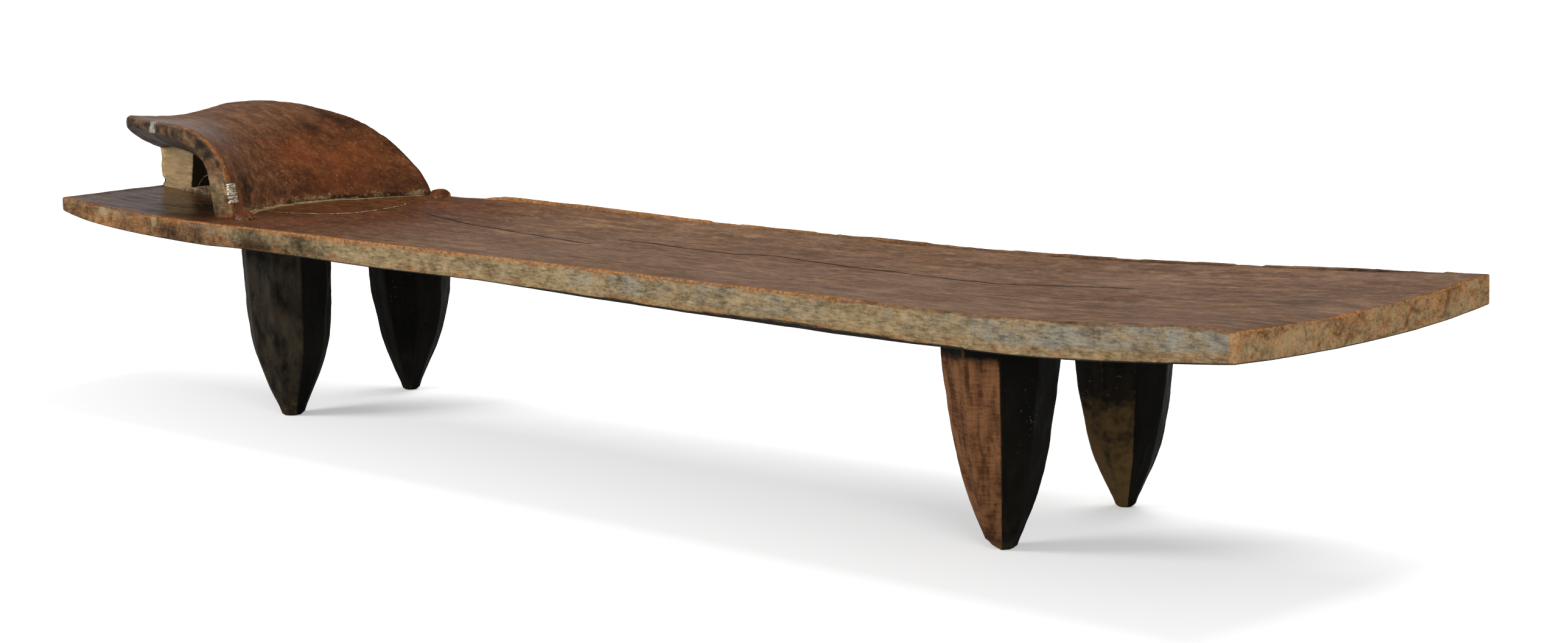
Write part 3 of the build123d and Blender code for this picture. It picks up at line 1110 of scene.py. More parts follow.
@dataclass
class Deck:
    """The long dished plank, with its worn arrises, adzed sides and drying cracks."""

    columns: int = 540
    rows: int = 76
    wall_rows: int = 12
    arris_radius: float = 0.0045
    end_arris_radius: float = 0.0032
    back_arris_radius: float = 0.0016
    under_width: float = 0.007
    under_height: float = 0.0058
    under_facet: float = 0.0022
    foot_facet: tuple[float, float] = (0.052, 0.034)
    corner_radius: tuple[float, float] = (0.010, 0.003)
    head_growth: float = 0.009
    crack_zone: tuple[float, float] = (0.36, 0.82)
    crack_rows: tuple[int, ...] = (24, 36, 37, 38, 42, 43, 44, 58)
    crack_rest: tuple[float, float] = (0.55, 0.64)
    crack_half: float = 0.0078
    head_crack: tuple[tuple[float, float], ...] = (
        (-0.56, 0.078), (-0.525, 0.069), (-0.397, 0.038), (-0.277, 0.022), (-0.192, 0.01), (-0.08, 0.003),
    )
    foot_crack: tuple[tuple[float, float], ...] = (
        (-0.14, 0.052), (-0.035, 0.055), (0.1, 0.045), (0.162, 0.063), (0.299, 0.044),
        (0.458, 0.030), (0.551, 0.025), (0.667, 0.056), (0.76, 0.064),
    )
    front_stains: tuple[tuple[float, float, float], ...] = (
        (-0.758, 0.013, 0.262), (-0.732, 0.009, 0.264), (-0.7, 0.02, 0.256), (-0.82, 0.012, 0.268),
        (-0.45, 0.05, 0.255),
    )

    def __post_init__(self) -> None:
        """Set the plan, its two faces and the cracks."""
        self.corners = plan_corners("deck")
        self.corners[0, 0] -= self.head_growth
        self.length = float(self.corners[1, 0] - self.corners[0, 0])
        self.width = float(self.corners[3, 1] - self.corners[1, 1])
        self.upper, self.lower = HeightSheet(self.corners, True), HeightSheet(self.corners, False)
        self.cracks = (Crack(self.head_crack), Crack(self.foot_crack, width=0.0033))

    def build(self, finishes: Finishes) -> None:
        """Make the plank."""
        slab = self.blank()
        places = self.place(points_of(slab))
        under, opened = self.shape(slab, places)
        self.paint_wear(slab, places, under)
        self.paint_weather(slab, places)
        self.paint_soot(slab, places, under)
        self.paint_polish(slab, places, opened)
        self.paint_dust(slab, places)
        dress(slab, finishes.carved, "worn_wood", "deck")

    def blank(self) -> Piece:
        """A unit slab cut into rows along its three axes."""
        slab = add_primitive(
            "carved_deck", bpy.ops.mesh.primitive_grid_add,
            x_subdivisions=self.columns, y_subdivisions=self.rows, size=1.0,
        )
        apply_modifier(slab, "SOLIDIFY", thickness=1.0, offset=-1.0)
        cut_edges(slab, 2, self.wall_rows - 1)
        face_outwards(slab)
        return slab

    def place(self, unit: Array) -> PlankPlaces:
        """Find where each point of the unit slab comes to lie on the plank.

        Args:
            unit: Places of the unit slab's points.

        Returns:
            Their shares, faces and distances.
        """
        along, across, up = self.crowd(unit[:, 0] + 0.5, unit[:, 1] + 0.5, unit[:, 2] + 1.0)
        thick = self.upper.height(along, across) - self.lower.height(along, across)
        long_gap = np.minimum(across, 1.0 - across) * self.width
        end_gap = np.minimum(along, 1.0 - along) * self.length
        top, bottom, at_end = up > 0.999, up < 0.001, end_gap < long_gap
        drop, lift = (1.0 - up) * thick, up * thick
        return PlankPlaces(along, across, top, bottom, at_end, long_gap, end_gap, drop, lift)

    def crowd(self, along: Array, across: Array, up: Array) -> tuple[Array, Array, Array]:
        """Gather the slab's rows at the arrises and around the cracks.

        Args:
            along: Even shares from head to foot.
            across: Even shares from front to back.
            up: Even shares from the under to the upper face.

        Returns:
            The three shares after gathering.
        """
        edge = 8.0 / self.columns
        along = np.interp(along, (0.0, edge, 1.0 - edge, 1.0), (0.0, 0.0055, 0.9945, 1.0))
        up = np.interp(up, (0.0, 4 / 12, 8 / 12, 1.0), (0.0, 0.24, 0.84, 1.0))
        shares = [0.0, 0.022, self.crack_zone[0]]
        for crack in self.crack_shares(along):
            shares += [crack - self.crack_half, crack, crack + self.crack_half]
        shares += [self.crack_zone[1], 0.982, 1.0]
        rows = (0, 7, *self.crack_rows, self.rows - 7, self.rows)
        row, across = across * self.rows, np.zeros(len(along))
        for start, end, near, far in zip(rows, rows[1:], shares, shares[1:]):
            across += (far - near) * np.clip((row - start) / (end - start), 0.0, 1.0)
        return along, across, up

    def crack_shares(self, along: Array) -> list[Array]:
        """Shares across the plank of the two cracks, which come to rest under the headrest."""
        shares = [np.full(len(along), rest) for rest in self.crack_rest]
        front, back = (plan_point(self.corners, along, side + np.zeros(len(along)))[1] for side in (0.0, 1.0))
        for _ in range(2):
            xs = [plan_point(self.corners, along, share)[0] for share in shares]
            shares = [(crack.centre(x) - front) / (back - front) for crack, x in zip(self.cracks, xs)]
        settle = ease(-plan_point(self.corners, along, shares[0])[0], 0.58, 0.68)
        shares[1] = np.maximum(shares[1], shares[0] + 0.05)
        return [share + (rest - share) * settle for share, rest in zip(shares, self.crack_rest)]

    def shape(self, slab: Piece, places: PlankPlaces) -> tuple[Array, Array]:
        """Map the unit slab onto the plank and cut its sides.

        Args:
            slab: The unit slab.
            places: Where its points lie.

        Returns:
            Height of each point above the bevel of the lower arris, and how open a crack is there.
        """
        x0, y0 = plan_point(self.corners, places.along, places.across)
        z0 = self.upper.height(places.along, places.across) - places.drop
        gap, drop = self.round_arris(places)
        gap, lift, high = self.bevel_below(places, x0, y0, gap)
        cut = self.chips(x0, y0, z0, places.at_end) * np.exp(-places.gap / 0.012)
        gap = gap + cut * np.where(places.back, 0.4, 1.0)
        along, across = self.rounded(places, gap)
        x, y = plan_point(self.corners, along, across)
        z_top = self.upper.height(along, across) + self.raised(x) * ease(across, 0.78, 0.97)
        z_low = self.lower.height(along, across) - self.sag(x0, places.along, places.across)
        z = np.where(places.drop <= places.lift, z_top - drop, z_low + lift)
        z = self.work_faces(places, np.stack([x, y], axis=1), z)
        opened = np.zeros(len(x))
        for crack in self.cracks:
            share = np.where(places.top, crack.opening(x, y), 0.0)
            z -= share * crack.depth
            opened = np.maximum(opened, share)
        move_points(slab, np.stack([x, y, z], axis=1))
        return places.lift - high, opened

    def round_arris(self, places: PlankPlaces) -> tuple[Array, Array]:
        """Distances from the edge and from the upper face, with the upper arris rounded."""
        radius = np.where(places.back, self.back_arris_radius, self.arris_radius)
        radius = np.where(places.at_end, self.end_arris_radius, radius)
        angle = math.pi / 4 * np.where(places.top, 1 + places.gap / radius, 1 - places.drop / radius)
        turned = (places.top & (places.gap < radius)) | (places.wall & (places.drop < radius))
        gap = np.where(turned, radius * (1 - np.cos(angle)), places.gap)
        return gap, np.where(turned, radius * (1 - np.sin(angle)), places.drop)

    def bevel_below(self, places: PlankPlaces, x: Array, y: Array, gap: Array) -> tuple[Array, Array, Array]:
        """Cut a wavering bevel along the lower arris.

        Args:
            places: Where the points lie.
            x: Their X.
            y: Their Y.
            gap: Their distances from the edge so far.

        Returns:
            Their distances from the edge and from the under face, and the bevel's height.
        """
        wave = 1.0 + 0.45 * cloud(np.stack([x, y], axis=1), 0.12, 15, 3)
        middle = np.where(places.at_end, 0.0, 0.86 * ease(x, -0.18, 0.2) * fall(x, 0.6, 0.8))
        wide, high = (size * (0.14 + middle) * wave for size in (self.under_width, self.under_height))
        low_wall = ~places.top & (places.gap < 1e-9) & (places.lift < high)
        low_face = places.bottom & (places.gap < wide) & ~low_wall
        gap = np.where(low_wall, wide / 2 * (1 - places.lift / high), gap)
        gap = np.where(low_face, wide / 2 * (1 + places.gap / wide), gap)
        lift = np.where(low_wall, high / 2 * (1 + places.lift / high), places.lift)
        return gap, np.where(low_face, high / 2 * (1 - places.gap / wide), lift), high

    def chips(self, x: Array, y: Array, z: Array, at_end: Array) -> Array:
        """How far the sides are cut back at each place, in metres."""
        front = np.stack([x, z], axis=1)
        flank = 0.0014 * (1.0 - adze_marks(front, (0.075, 0.05), 3))
        flank += 0.0005 * (1 + cloud(front, (0.03, 0.02), 8, 3))
        face = self.end_face(y, z)
        foot = 0.0042 * (1.0 - adze_marks(face, self.foot_facet, 21))
        foot += 0.0008 * (1 + cloud(face, (0.02, 0.012), 5, 3))
        return np.where(at_end, foot * (1.0 - 0.9 * ease(y, 0.17, 0.2)), flank)

    def end_face(self, y: Array, z: Array) -> Array:
        """Flat places on the end faces, with the strokes leaning a little."""
        return np.stack([y, z + 0.25 * y], axis=1)

    def rounded(self, places: PlankPlaces, gap: Array) -> tuple[Array, Array]:
        """Shares along and across, with the plan's corners rounded.

        Args:
            places: Where the points lie.
            gap: Distance that each point is to have from the outline.

        Returns:
            The two new shares.
        """
        long_gap, end_gap = places.long_gap, places.end_gap
        radius = np.where(places.along < 0.5, *self.corner_radius)
        corner = (long_gap < radius) & (end_gap < radius)
        beside_long = long_gap <= end_gap
        p, q = 1.0 - long_gap / radius, 1.0 - end_gap / radius
        pull = np.maximum(1.0 - gap / radius, 0.0) / np.maximum(np.maximum(p, q), 1e-6)
        p, q = p * pull, q * pull
        squash = np.maximum(p, q) / np.maximum(np.hypot(p, q), 1e-6)
        a = np.where(corner, radius * (1.0 - p * squash), np.where(beside_long, gap, long_gap)) / self.width
        b = np.where(corner, radius * (1.0 - q * squash), np.where(beside_long, end_gap, gap)) / self.length
        return np.where(places.along > 0.5, 1.0 - b, b), np.where(places.across > 0.5, 1.0 - a, a)

    def raised(self, x: Array) -> Array:
        """How much higher the upper face is along the back edge, in metres."""
        along = (-0.85, -0.6, -0.5, -0.33, -0.06, 0.43, 0.78, 1.075)
        return 0.001 * np.interp(x, along, (0.0, 2.0, 7.0, 7.0, 5.3, 4.8, 3.3, 2.4))

    def sag(self, x: Array, along: Array, across: Array) -> Array:
        """How much fuller the under face is than its smooth sheet, in metres."""
        places = (-1.0, -0.75, -0.68, -0.6, -0.3, -0.1, -0.02, 0.1, 0.25, 0.4, 0.5, 0.58, 0.66, 1.0)
        extra = (0.5, 2.0, 2.0, 0.0, 0.0, -3.0, -1.8, 0.0, 0.8, 2.2, 3.0, 2.0, 0.2, 0.0)
        end = np.interp(across, (0.0, 0.15, 0.5, 0.65, 0.85, 1.0), (0.0, 1.0, 3.4, 4.2, 4.0, 1.5))
        return (np.interp(x, places, extra) + ease(along, 0.9, 1.0) * end) * 0.001

    def work_faces(self, places: PlankPlaces, flat: Array, z: Array) -> Array:
        """Heights with the shallow strokes above and the rough ones below cut in."""
        polish = 0.0007 * (1 - adze_marks(flat, (0.19, 0.06), 33)) + 0.0003 * cloud(flat, (0.05, 0.02), 12)
        polish += 0.0012 * (1 - adze_marks(flat, (0.11, 0.035), 35)) * ease(-flat[:, 0], 0.66, 0.8)
        z = np.where(places.top, z - polish * ease(places.gap, 0.0, 0.02), z)
        rough = self.under_facet * (1 - adze_marks(flat, (0.07, 0.05), 50))
        rough += 0.0008 * cloud(flat, (0.03, 0.02), 51, 3)
        return np.where(places.bottom, z + rough * ease(places.gap, 0.004, 0.03), z)

    def foot_corner(self, points: Array, places: PlankPlaces) -> Array:
        """Mask of the chafed front corner at the foot end."""
        return spot(points, (1.045, -0.217, 0.27), (0.016, 0.014, 0.08)) * places.wall

    def ridges(self, points: Array, places: PlankPlaces) -> Array:
        """Mask of the ridges between the strokes on the end faces."""
        marks = adze_marks(self.end_face(points[:, 1], points[:, 2]), self.foot_facet, 21)
        return ease(marks, 0.7, 1.0) * places.at_end * places.wall

    def paint_wear(self, slab: Piece, places: PlankPlaces, under: Array) -> None:
        """Paint the rubbed arrises."""
        points, wall, front = points_of(slab), places.wall, places.front
        x = points[:, 0]
        reach = np.where(front, 0.0072, 0.0036) * (0.8 + 0.6 * cloud(points, 0.025, 60))
        arris = np.exp(-(places.gap + places.drop * wall) / np.maximum(reach, 0.0012)) * ~places.bottom
        ragged = 0.85 + 0.35 * cloud(points, (0.09, 0.05, 0.05), 61, 3)
        ragged = ragged * (1.0 - 0.55 * ease(x, 0.45, 0.7) * front)
        sheltered = np.where(places.back & (x > -0.55), 0.1, 1.0)
        chafed = self.foot_corner(points, places) * (0.75 + 0.3 * cloud(points, 0.02, 63))
        low = 0.5 * np.exp(-np.abs(under - 0.001) / 0.002) * wall
        low = low * (0.7 + 0.7 * cloud(points, (0.16, 0.1, 0.1), 62, 3))
        bulge = 0.6 * ease(bend_of(slab, 1), 0.25, 0.6) * wall
        paint(slab, wear=strongest(arris * ragged * sheltered, chafed, low, bulge))

    def paint_weather(self, slab: Piece, places: PlankPlaces) -> None:
        """Paint the dry grey, blue and rust-red colours of the sides."""
        points, wall = points_of(slab), places.wall
        x = points[:, 0]
        dry = np.where(wall, 1.0, np.exp(-places.gap / 0.0025)) * ~places.bottom
        below = ease(places.drop + 0.004 * cloud(points, 0.03, 66, 3), 0.001, 0.007)
        blue = 0.16 + 0.2 * ease(x, 0.1, 0.3) + 0.2 * ease(x, 0.66, 0.8)
        blue += 0.4 * cloud(points, (0.1, 0.1, 0.04), 67, 3)
        blue += 0.3 * spot(points, (0.16, -0.2, 0.255), (0.16, 0.1, 0.03))
        rusty = (0.55 + 0.4 * cloud(points, (0.07, 0.05, 0.02), 68)) * fall(x, -0.75, -0.3)
        rusty += 0.35 * fall(places.lift, 0.006, 0.02)
        rusty = np.where(places.at_end, 0.5 * np.exp(-places.drop / 0.012) + 0.46, rusty)
        rusty = np.maximum(rusty, 0.6 * self.foot_corner(points, places))
        paint(
            slab,
            grey=dry * (0.35 + 0.65 * below),
            blue=blue * places.front * wall * ease(places.lift, 0.006, 0.016),
            rust=np.where(wall, rusty, 0.0),
            scallop=places.at_end * wall * (x > 0.0),
        )

    def paint_soot(self, slab: Piece, places: PlankPlaces, under: Array) -> None:
        """Paint soot and painted shade: painted shade below and in the hollow under the lip, soot on the
        front edge and along a crack.
        """
        points, top = points_of(slab), places.top
        x, y = points[:, 0], points[:, 1]
        front = places.front * places.wall
        stains = [
            spot(points, (place, -0.2, height), (1.8 * reach, 0.06, 0.016))
            for place, reach, height in self.front_stains
        ]
        # Painted shade in the hollow under the lip, with a weaker darker spot just past the headrest.
        hollow = strongest(
            0.5 * spot(points, (-0.86, -0.08, 0.29), (0.2, 0.17, 0.05)),
            1.3 * spot(points, (-0.81, -0.10, 0.28), (0.14, 0.11, 0.05)),
            0.3 * spot(points, (-0.58, -0.02, 0.27), (0.17, 0.17, 0.05)),
        )
        flank = 0.6 * fall(x, -0.48, -0.3) + 0.26 * ease(x, 0.76, 0.82)
        flank = flank - 0.1 * spot(points, (-0.87, -0.2, 0.27), (0.06, 0.1, 0.1))
        fringe = 0.75 * ease(x, 0.05, 0.4) * fall(x, 0.98, 1.02) * places.front
        fringe = fringe * np.exp(-places.gap / 0.004 - places.drop / 0.004)
        beside_crack = np.exp(-np.abs(y - self.cracks[1].centre(x)) / 0.008)
        paint(slab, soot=strongest(
            # Painted shade: the under face and the lower bevel, which face down, are darkened.
            places.bottom,
            0.65 * (under < -0.0004) * places.wall,
            0.55 * strongest(*stains) * front,
            hollow * top * (0.8 + 0.5 * cloud(points, (0.12, 0.03, 0.05), 70)),
            flank * (0.8 + 0.7 * cloud(points, (0.06, 0.05, 0.03), 71, 3)) * front,
            0.32 * spot(points, (0.96, 0.02, 0.28), (0.07, 0.09, 0.05)) * top,
            fringe * (0.5 + 0.9 * cloud(points, (0.03, 0.02, 0.02), 72, 3)),
            0.5 * beside_crack * ease(x, 0.38, 0.5) * fall(x, 0.7, 0.8) * top,
            0.3 * self.ridges(points, places) * (0.7 + 0.6 * cloud(points, 0.03, 74)),
        ))

    def paint_polish(self, slab: Piece, places: PlankPlaces, opened: Array) -> None:
        """Paint the handled brown of the upper face with its painted grey-violet sheen, and the cracks in it.
        """
        points, top = points_of(slab), places.top
        x = points[:, 0]
        near_head = fall(x, -0.58, -0.25)
        ember = 0.18 * near_head + 0.2 * spot(points, (-0.62, -0.1, 0.27), (0.1, 0.08, 0.1))
        paint(
            slab,
            crack=ease(opened, 0.05, 0.5),
            gloss=top * (0.2 + 0.8 * ease(-x, 0.62, 0.85)),
            red=top * (0.1 + 0.85 * near_head),
            ember=top * (ember + 0.2 * cloud(points, (0.14, 0.06, 0.06), 69)),
            level=top,
            scratch=0.25 * top,
            # Painted sheen over the whole upper face, a little stronger towards the foot.
            violet=top * (0.35 + 0.2 * ease(x, -0.5, 0.3)),
            ripple=top * ease(-x, 0.72, 0.82),
        )

    def paint_dust(self, slab: Piece, places: PlankPlaces) -> None:
        """Paint pale chips on the sides, and dust lodged along the headrest's crease."""
        points, wall = points_of(slab), places.wall
        chips = 0.6 * spot(points, (-0.932, -0.2, 0.276), (0.02, 0.05, 0.012))
        chips += 0.55 * spot(points, (-0.805, -0.2, 0.27), (0.012, 0.05, 0.018))
        chips += 0.5 * self.foot_corner(points, places)
        chips += 0.35 * wall * ease(cloud(points, (0.05, 0.03, 0.02), 73, 3), 0.5, 0.8)
        pale = 0.3 + 0.4 * cloud(points, (0.04, 0.04, 0.02), 75, 3)
        chips += places.at_end * wall * pale * (1.0 - self.ridges(points, places))
        crease = np.array(crease_path())
        line = np.interp(points[:, 1], crease[:, 1], crease[:, 0], -9.0, -9.0)
        lodged = 1.9 * np.exp(-np.abs(points[:, 0] - line - 0.003) / 0.008) * places.top
        clotted = 0.65 + 0.6 * cloud(points, (0.02, 0.012, 0.02), 76, 3)
        paint(slab, dust=np.maximum(chips, lodged * clotted))


# --------------------------------------------------------------------------------------
# The other carved members
# --------------------------------------------------------------------------------------


@dataclass
class BackRim:
    """The raised rim on the back edge, chipped in places."""

    voxel: float = 0.0026
    growth: float = 0.0016
    foot_drop: float = 0.0042
    chips: tuple[tuple[float, float, float], ...] = (
        (-0.062, 0.03, 0.0018), (0.12, 0.02, 0.0012), (0.36, 0.075, 0.0016), (0.77, 0.022, 0.0016),
        (0.60, 0.02, 0.001),
    )

    def build(self, finishes: Finishes) -> None:
        """Make the rim."""
        rim = blank_from("back_rim", "carved_back_rim", self.voxel, 3)
        points, normals = points_of(rim), normals_of(rim)
        high = ease(normals[:, 2], 0.2, 0.8)
        lowered = 0.0006 * (1 + cloud(points, (0.05, 0.02, 0.02), 90, 3))
        for x, reach, depth in self.chips:
            edge = fall(np.abs(points[:, 0] - x), reach * 0.8, reach)
            lowered += depth * edge * (0.8 + 0.3 * cloud(points, 0.012, 92))
        lowered += self.foot_drop * ease(points[:, 0], 0.9, 1.06)
        points[:, 2] += (self.growth - lowered) * high
        rough = 0.0006 * (1 + cloud(points, (0.04, 0.03, 0.02), 93, 3))
        points[:, 1] -= rough * ease(normals[:, 1], 0.3, 0.8)
        points = sink(points, normals, DOWN, 0.003)
        move_points(rim, points)
        self.paint_masks(rim, points, normals, high)
        dress(rim, finishes.carved, "worn_wood", "back_rim")

    def paint_masks(self, rim: Piece, points: Array, normals: Array, high: Array) -> None:
        """Paint the rubbed crest, and the dark seam where the rim meets the plank.

        Args:
            rim: The rim.
            points: Places of its points.
            normals: Their outward directions before the rim was sunk into the plank.
            high: Mask of its crest.
        """
        x = points[:, 0]
        corners = plan_corners("deck")
        along = np.clip((x - corners[2, 0]) / (corners[3, 0] - corners[2, 0]), 0.0, 1.0)
        low_line = HeightSheet(corners, True).height(along, np.full(len(along), 0.96))
        inner, right = ease(-normals[:, 1], 0.1, 0.5), ease(x, 0.0, 0.5)
        patch = 0.9 + 0.35 * cloud(points, (0.13, 0.06, 0.06), 94, 3)
        worn = 0.4 * high + 0.15 * inner + 0.35 * ease(bend_of(rim, 1), 0.02, 0.3)
        dark = (0.16 + 0.06 * right) * (0.6 + 0.9 * cloud(points, (0.1, 0.05, 0.05), 95))
        seam = (0.3 + 0.12 * right) * inner * fall(points[:, 2] - low_line, 0.0055, 0.008)
        paint(
            rim,
            wear=worn * patch * (1.15 - 0.75 * ease(x, -0.1, 0.45)),
            grey=0.75 * ease(normals[:, 1], 0.3, 0.8),
            level=0.5,
            soot=seam + dark,
            gloss=0.2 * high,
        )


@dataclass
class Headrest:
    """The curled, scooped sheet at the head end."""

    voxel: float = 0.0023
    arris_growth: float = 0.0022
    lip_thickness: float = 0.012
    lip_fill: float = 0.0105
    lip_reach: float = 0.0062
    lip_raise: float = 0.003

    def build(self, finishes: Finishes) -> None:
        """Make the headrest."""
        sheet = blank_from("headrest", "carved_headrest", self.voxel, 5)
        self.ease_arrises(sheet)
        self.thicken_lip(sheet)
        under, flank = self.carve(sheet)
        above = (1.0 - under) * (1.0 - flank)
        self.paint_soot(sheet, under, flank, above)
        self.paint_colours(sheet, flank, above)
        dress(sheet, finishes.carved, "worn_wood", "headrest")

    def ease_arrises(self, sheet: Piece) -> None:
        """Smooth the steps of the blank out of the arrises, and only there."""
        points, edges = points_of(sheet), edges_of(sheet)
        near = ease(bend_of(sheet, 6), 0.012, 0.035)
        for _ in range(5):
            near = np.maximum(near, neighbour_mean(near, edges))
        for _ in range(4):
            near = neighbour_mean(near, edges)
        outward = normals_of(sheet)
        for _ in range(8):
            outward = neighbour_mean(outward, edges)
        outward /= np.linalg.norm(outward, axis=1)[:, None]
        for _ in range(70):
            points = points + (neighbour_mean(points, edges) - points) * (0.5 * near)[:, None]
        move_points(sheet, points + outward * (self.arris_growth * near)[:, None])

    def thicken_lip(self, sheet: Piece) -> None:
        """Fill out the worn tip of the lip below and round it over."""
        tree = solid_tree("headrest")
        points, edges = points_of(sheet), edges_of(sheet)
        tip = fall(points[:, 0], -1.066, -1.005) * (1.0 - 0.5 * ease(points[:, 1], -0.04, 0.1))
        for number in np.flatnonzero(tip > 0.0):
            x, y, z = points[number]
            surface = top_at(tree, max(x, -1.0635), y)
            depth = 0.6 if surface is None else (surface - z) / self.lip_thickness
            points[number, 2] -= self.lip_fill * tip[number] * min(max(depth, 0.0), 1.0)
        edge = fall(points[:, 0], -1.06, -1.035)
        for _ in range(10):
            points = points + (neighbour_mean(points, edges) - points) * (0.5 * edge)[:, None]
        points[:, 0] -= self.lip_reach * edge
        points[:, 2] += self.lip_raise * fall(points[:, 1], -0.05, 0.03) * fall(points[:, 0], -1.03, -0.98)
        move_points(sheet, points)

    def carve(self, sheet: Piece) -> tuple[Array, Array]:
        """Work the surface over and press the root into the plank.

        Args:
            sheet: The headrest.

        Returns:
            Masks of the hollow's ceiling and of the front edge.
        """
        points, normals = points_of(sheet), normals_of(sheet)
        under = self.underside(points, normals)
        flank = ease(-normals[:, 1], 0.55, 0.8) * (points[:, 1] < 0.03)
        body = 0.0007 * cloud(points, (0.09, 0.05, 0.05), 101)
        body += 0.00025 * cloud(points, (0.03, 0.012, 0.012), 102)
        rough = 0.0016 * (adze_marks(points[:, :2] + points[:, 2:], (0.05, 0.035), 103) - 0.6)
        rough += 0.0006 * cloud(points, 0.014, 104)
        side = 0.0008 * cloud(points, (0.02, 0.02, 0.016), 105, 3)
        move = body * (1 - under) * (1 - flank) + rough * under * (1 - flank) + side * flank
        points = points + normals * (move + 0.0006)[:, None]
        fuller = ease(points[:, 1], 0.02, 0.15) * ease(points[:, 0], -0.9, -0.8)
        fuller = fuller * ease(normals[:, 2], 0.0, 0.4) * ease(points[:, 2], 0.28, 0.31)
        points[:, 2] += 0.0062 * fuller
        low_back = ease(points[:, 1], 0.09, 0.17) * fall(points[:, 2], 0.3, 0.36) * (points[:, 0] > -0.8)
        points[:, 0] += 0.008 * low_back
        points[:, 2] += 0.0018 * spot(points, (-0.87, 0.12, 0.385), (0.12, 0.13, 0.05)) * (1.0 - under)
        points = sink(points, normals, DOWN, 0.004, fall(points[:, 2], 0.281, 0.286))
        move_points(sheet, points)
        return under, flank

    def underside(self, points: Array, normals: Array) -> Array:
        """Mask of the hollow's ceiling, which faces down or towards the head end."""
        wall = -normals[:, 0] * fall(points[:, 2], 0.35, 0.375)
        return ease(np.maximum(-normals[:, 2], wall), 0.3, 0.6) * (points[:, 0] < -0.70)

    def heights_over_plank(self, points: Array) -> Array:
        """Height of each low point above the plank, and one metre for all others."""
        tree = solid_tree("deck")
        heights = np.full(len(points), 1.0)
        for number in np.flatnonzero(points[:, 2] < 0.31):
            ground = top_at(tree, *points[number, :2])
            heights[number] = 1.0 if ground is None else points[number, 2] - ground
        return heights

    def paint_soot(self, sheet: Piece, under: Array, flank: Array, above: Array) -> None:
        """Paint soot and painted shade, and root dust.

        Args:
            sheet: The headrest.
            under: Mask of the hollow's ceiling.
            flank: Mask of the front edge.
            above: Mask of the upper face.
        """
        points = points_of(sheet)
        x, y, z = points.T
        lift = self.heights_over_plank(points)
        # Painted shade low on the upper face: darker near the front edge and in a band just above the root.
        near = np.exp(-np.maximum(y + 0.135, 0.0) / 0.05) * ease(-z, -0.36, -0.30)
        dark_band = fall(z, 0.29, 0.32) * ease(lift, 0.004, 0.014) * 0.4
        streaky = 0.6 + 0.5 * cloud(points, (0.05, 0.02, 0.02), 113, 3)
        # Painted shade at the front of the root, and a darker patch high on the back.
        dark = np.maximum(
            0.65 * spot(points, (-0.755, -0.07, 0.31), (0.07, 0.07, 0.06)),
            0.5 * spot(points, (-0.85, 0.165, 0.378), (0.13, 0.1, 0.07)),
        )
        high = 0.22 * ease(z, 0.335, 0.36) + 0.22 * ease(-x, 1.0, 1.05)
        root = fall(lift, 0.003, 0.014) * (0.75 + 0.3 * ease(x, -0.68, -0.62))
        paint(
            sheet,
            soot=strongest(
                # Painted shade on the hollow's ceiling, which faces down.
                0.62 * under,
                above * np.maximum(near * 0.3, dark_band) * streaky,
                above * dark * (0.7 + 0.5 * cloud(points, (0.04, 0.02, 0.02), 118, 3)),
                0.5 * ease(bend_of(sheet, 3), 0.01, 0.06) * (y > 0.05) * above,
                flank * (0.5 + high) * (0.9 + 0.5 * cloud(points, (0.02, 0.01, 0.012), 114, 3)),
            ),
            dust=above * root * (0.66 + 0.6 * cloud(points, (0.03, 0.03, 0.02), 115, 3)),
        )

    def paint_colours(self, sheet: Piece, flank: Array, above: Array) -> None:
        """Paint wear, weather, polish and a painted sheen on the lip.

        Args:
            sheet: The headrest.
            flank: Mask of the front edge.
            above: Mask of the upper face.
        """
        points, bend = points_of(sheet), bend_of(sheet, 3)
        x, y, z = points.T
        lip = fall(x, -0.94, -0.82)
        patch = 0.75 + 0.5 * cloud(points, (0.06, 0.05, 0.05), 111, 3)
        rust = 0.45 + 0.3 * ease(z, 0.32, 0.35) + 0.5 * cloud(points, (0.03, 0.03, 0.02), 117, 3)
        ember = 0.06 + 0.42 * spot(points, (-0.80, 0.09, 0.335), (0.13, 0.12, 0.09))
        ember += 0.3 * cloud(points, (0.07, 0.05, 0.04), 116, 3)
        low_arris = flank * fall(z, 0.36, 0.39) * ease(bend, 0.05, 0.16)
        shiny = spot(points, (-0.91, -0.08, 0.40), (0.17, 0.14, 0.08))
        paint(
            sheet,
            wear=ease(bend, 0.04, 0.16) * patch * np.where(y < 0.0, 0.85, 0.1),
            grey=flank * (0.85 - 0.35 * ease(z, 0.30, 0.34)),
            rust=flank * rust,
            red=above * (1.0 - 0.4 * lip) * (0.72 + 0.2 * ease(y, -0.03, 0.07)),
            ember=np.maximum(above * ember * (1.0 - lip), low_arris),
            # Painted sheen on the upper face of the lip.
            violet=above * 0.55 * lip,
            gloss=above * (0.15 + 0.75 * shiny),
            scratch=above,
            crack=0.0,
        )


